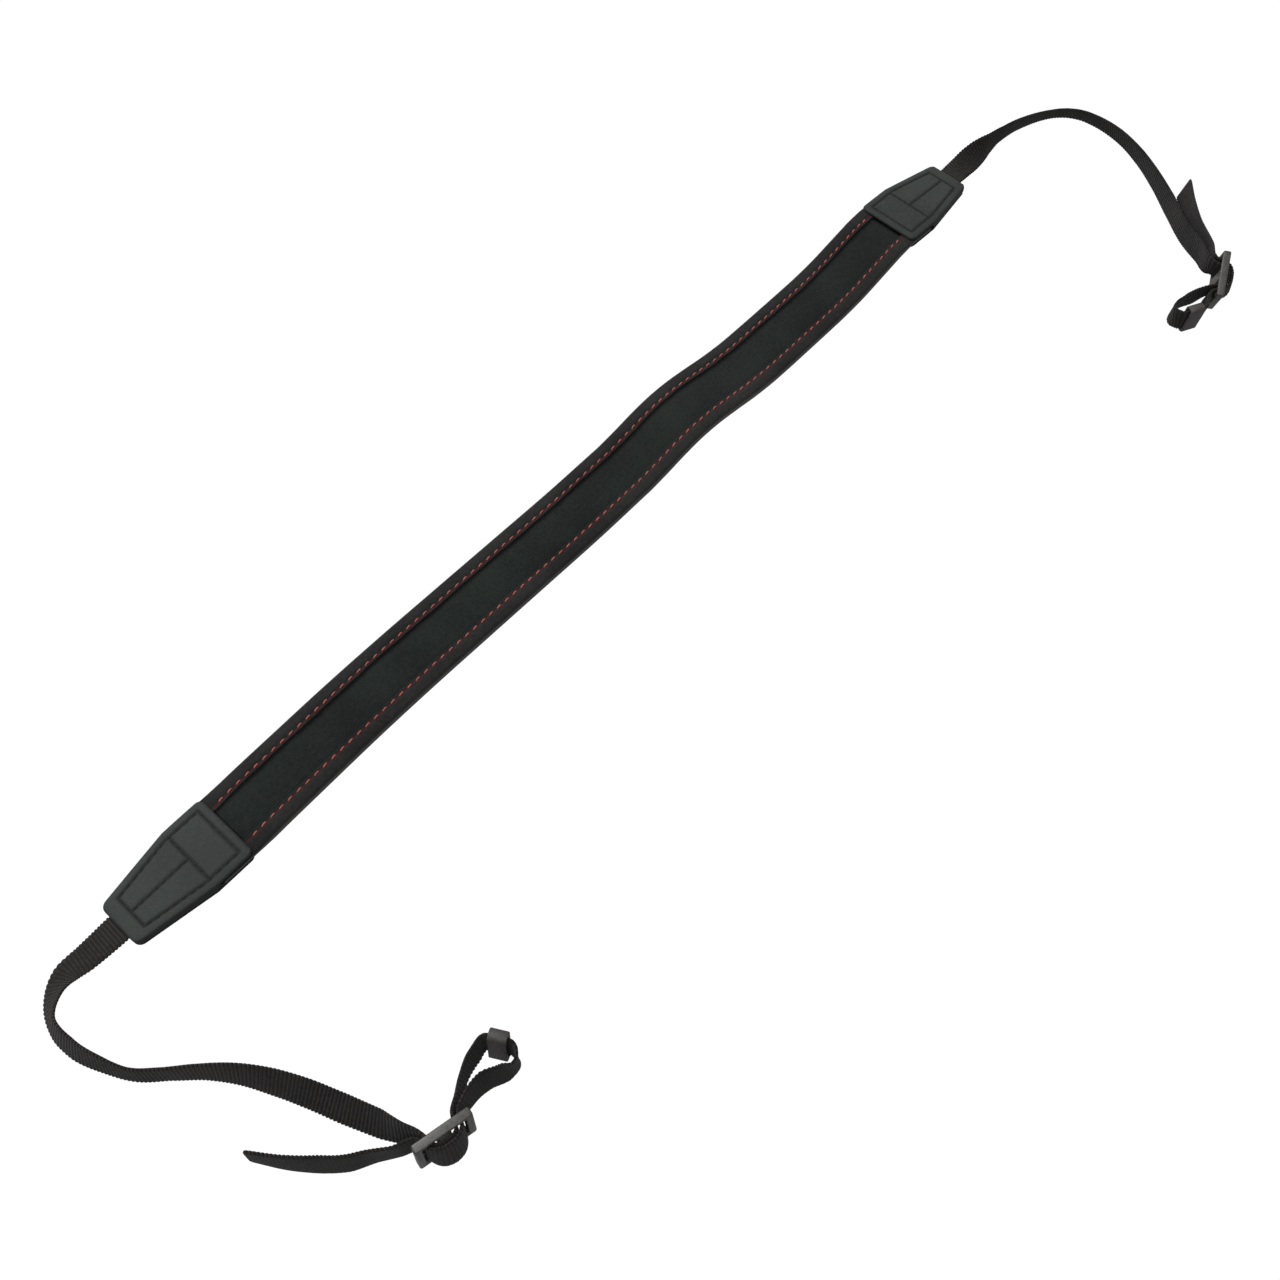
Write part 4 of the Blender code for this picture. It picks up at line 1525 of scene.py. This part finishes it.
@dataclass
class Studio:
    """The pale floor, the soft lights and the camera."""

    eye: tuple[float, float, float] = (-0.1868, -0.1870, 0.3817)
    turn: tuple[float, float, float] = (28.0, 0.0, -47.965)
    lens: float = 36.84
    sensor: float = 36.0
    floor_size: float = 6.0
    paper: float = 1.02
    sky: float = 0.4

    def build_floor(self) -> None:
        """Lay a plain white floor."""
        bpy.ops.object.select_all(action="DESELECT")
        bpy.ops.mesh.primitive_plane_add(size=self.floor_size, location=(0, 0, -0.0001))
        floor = bpy.context.active_object
        floor.name = "floor"
        made = bpy.data.materials.new("floor_paper")
        made.use_nodes = True
        NodeTree(made.node_tree).fed(
            made.node_tree.nodes["Principled BSDF"], Base_Color=BLACK, Emission_Color=WHITE,
            Emission_Strength=self.paper, Roughness=1.0, Specular_IOR_Level=0.0,
        )
        floor.data.materials.append(made)
        floor.visible_diffuse = False
        floor.visible_glossy = False

    def build_camera(self) -> None:
        """Put the camera at the photograph's height and angle."""
        data = bpy.data.cameras.new("camera")
        data.lens = self.lens
        data.sensor_width = self.sensor
        data.clip_start = 0.01
        camera = bpy.data.objects.new("camera", data)
        camera.location = self.eye
        camera.rotation_euler = [math.radians(angle) for angle in self.turn]
        bpy.context.scene.collection.objects.link(camera)
        bpy.context.scene.camera = camera

    def add_light(self, name: str, place: Sequence[float], size: float, power: float) -> None:
        """Hang a soft square light that faces the strap's middle."""
        data = bpy.data.lights.new(name, "AREA")
        data.shape = "SQUARE"
        data.size = size
        data.energy = power
        light = bpy.data.objects.new(name, data)
        light.location = place
        light.rotation_euler = (-Vector(place)).to_track_quat("-Z", "Y").to_euler()
        bpy.context.scene.collection.objects.link(light)

    def build(self) -> None:
        """Build the floor, the camera and the lights."""
        self.build_floor()
        self.build_camera()
        world = bpy.data.worlds.new("studio")
        world.use_nodes = True
        background = world.node_tree.nodes["Background"]
        NodeTree(world.node_tree).fed(background, Color=WHITE, Strength=self.sky)
        bpy.context.scene.world = world
        bpy.context.scene.view_settings.view_transform = "Standard"
        self.add_light("key", (0.0, 1.2, 1.2), 0.9, 20.0)
        self.add_light("top", (-0.3, -0.1, 1.6), 1.4, 14.0)


def main() -> None:
    """Build the strap's looks and the studio round it."""
    logging.basicConfig(level=logging.INFO, format="%(name)s: %(message)s")
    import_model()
    Studio().build()
    pad_thread = Stitching("pad_stitches", PAD_THREAD.build())
    tab_thread = Stitching("tab_stitches", TAB_THREAD.build(), 2.6 * MM, thick=0.34 * MM)
    pieces = Pad().build(COVER_CLOTH.build(), PANEL_CLOTH.build(), pad_thread)
    leather, webbing = TAB_LEATHER.build(), WEBBING.build()
    slider_plastic, keeper_plastic = SLIDER_PLASTIC.build(), KEEPER_PLASTIC.build()
    for side in Side:
        pieces += Tab(side).build(leather, tab_thread)
        pieces.append(Webbing(side).build(webbing))
        pieces.append(Slider(side, slider_plastic, 18.0 * MM, 12.8 * MM, 2.8 * MM).build())
        pieces.append(Keeper(side, keeper_plastic, 5.6 * MM, 12.6 * MM, 4.0 * MM).build())
    pieces += [pad_thread.build(), tab_thread.build()]
    for piece in pieces:
        log.info("%s: %d faces", piece.name, len(piece.data.polygons))


if __name__ == "__main__":
    main()
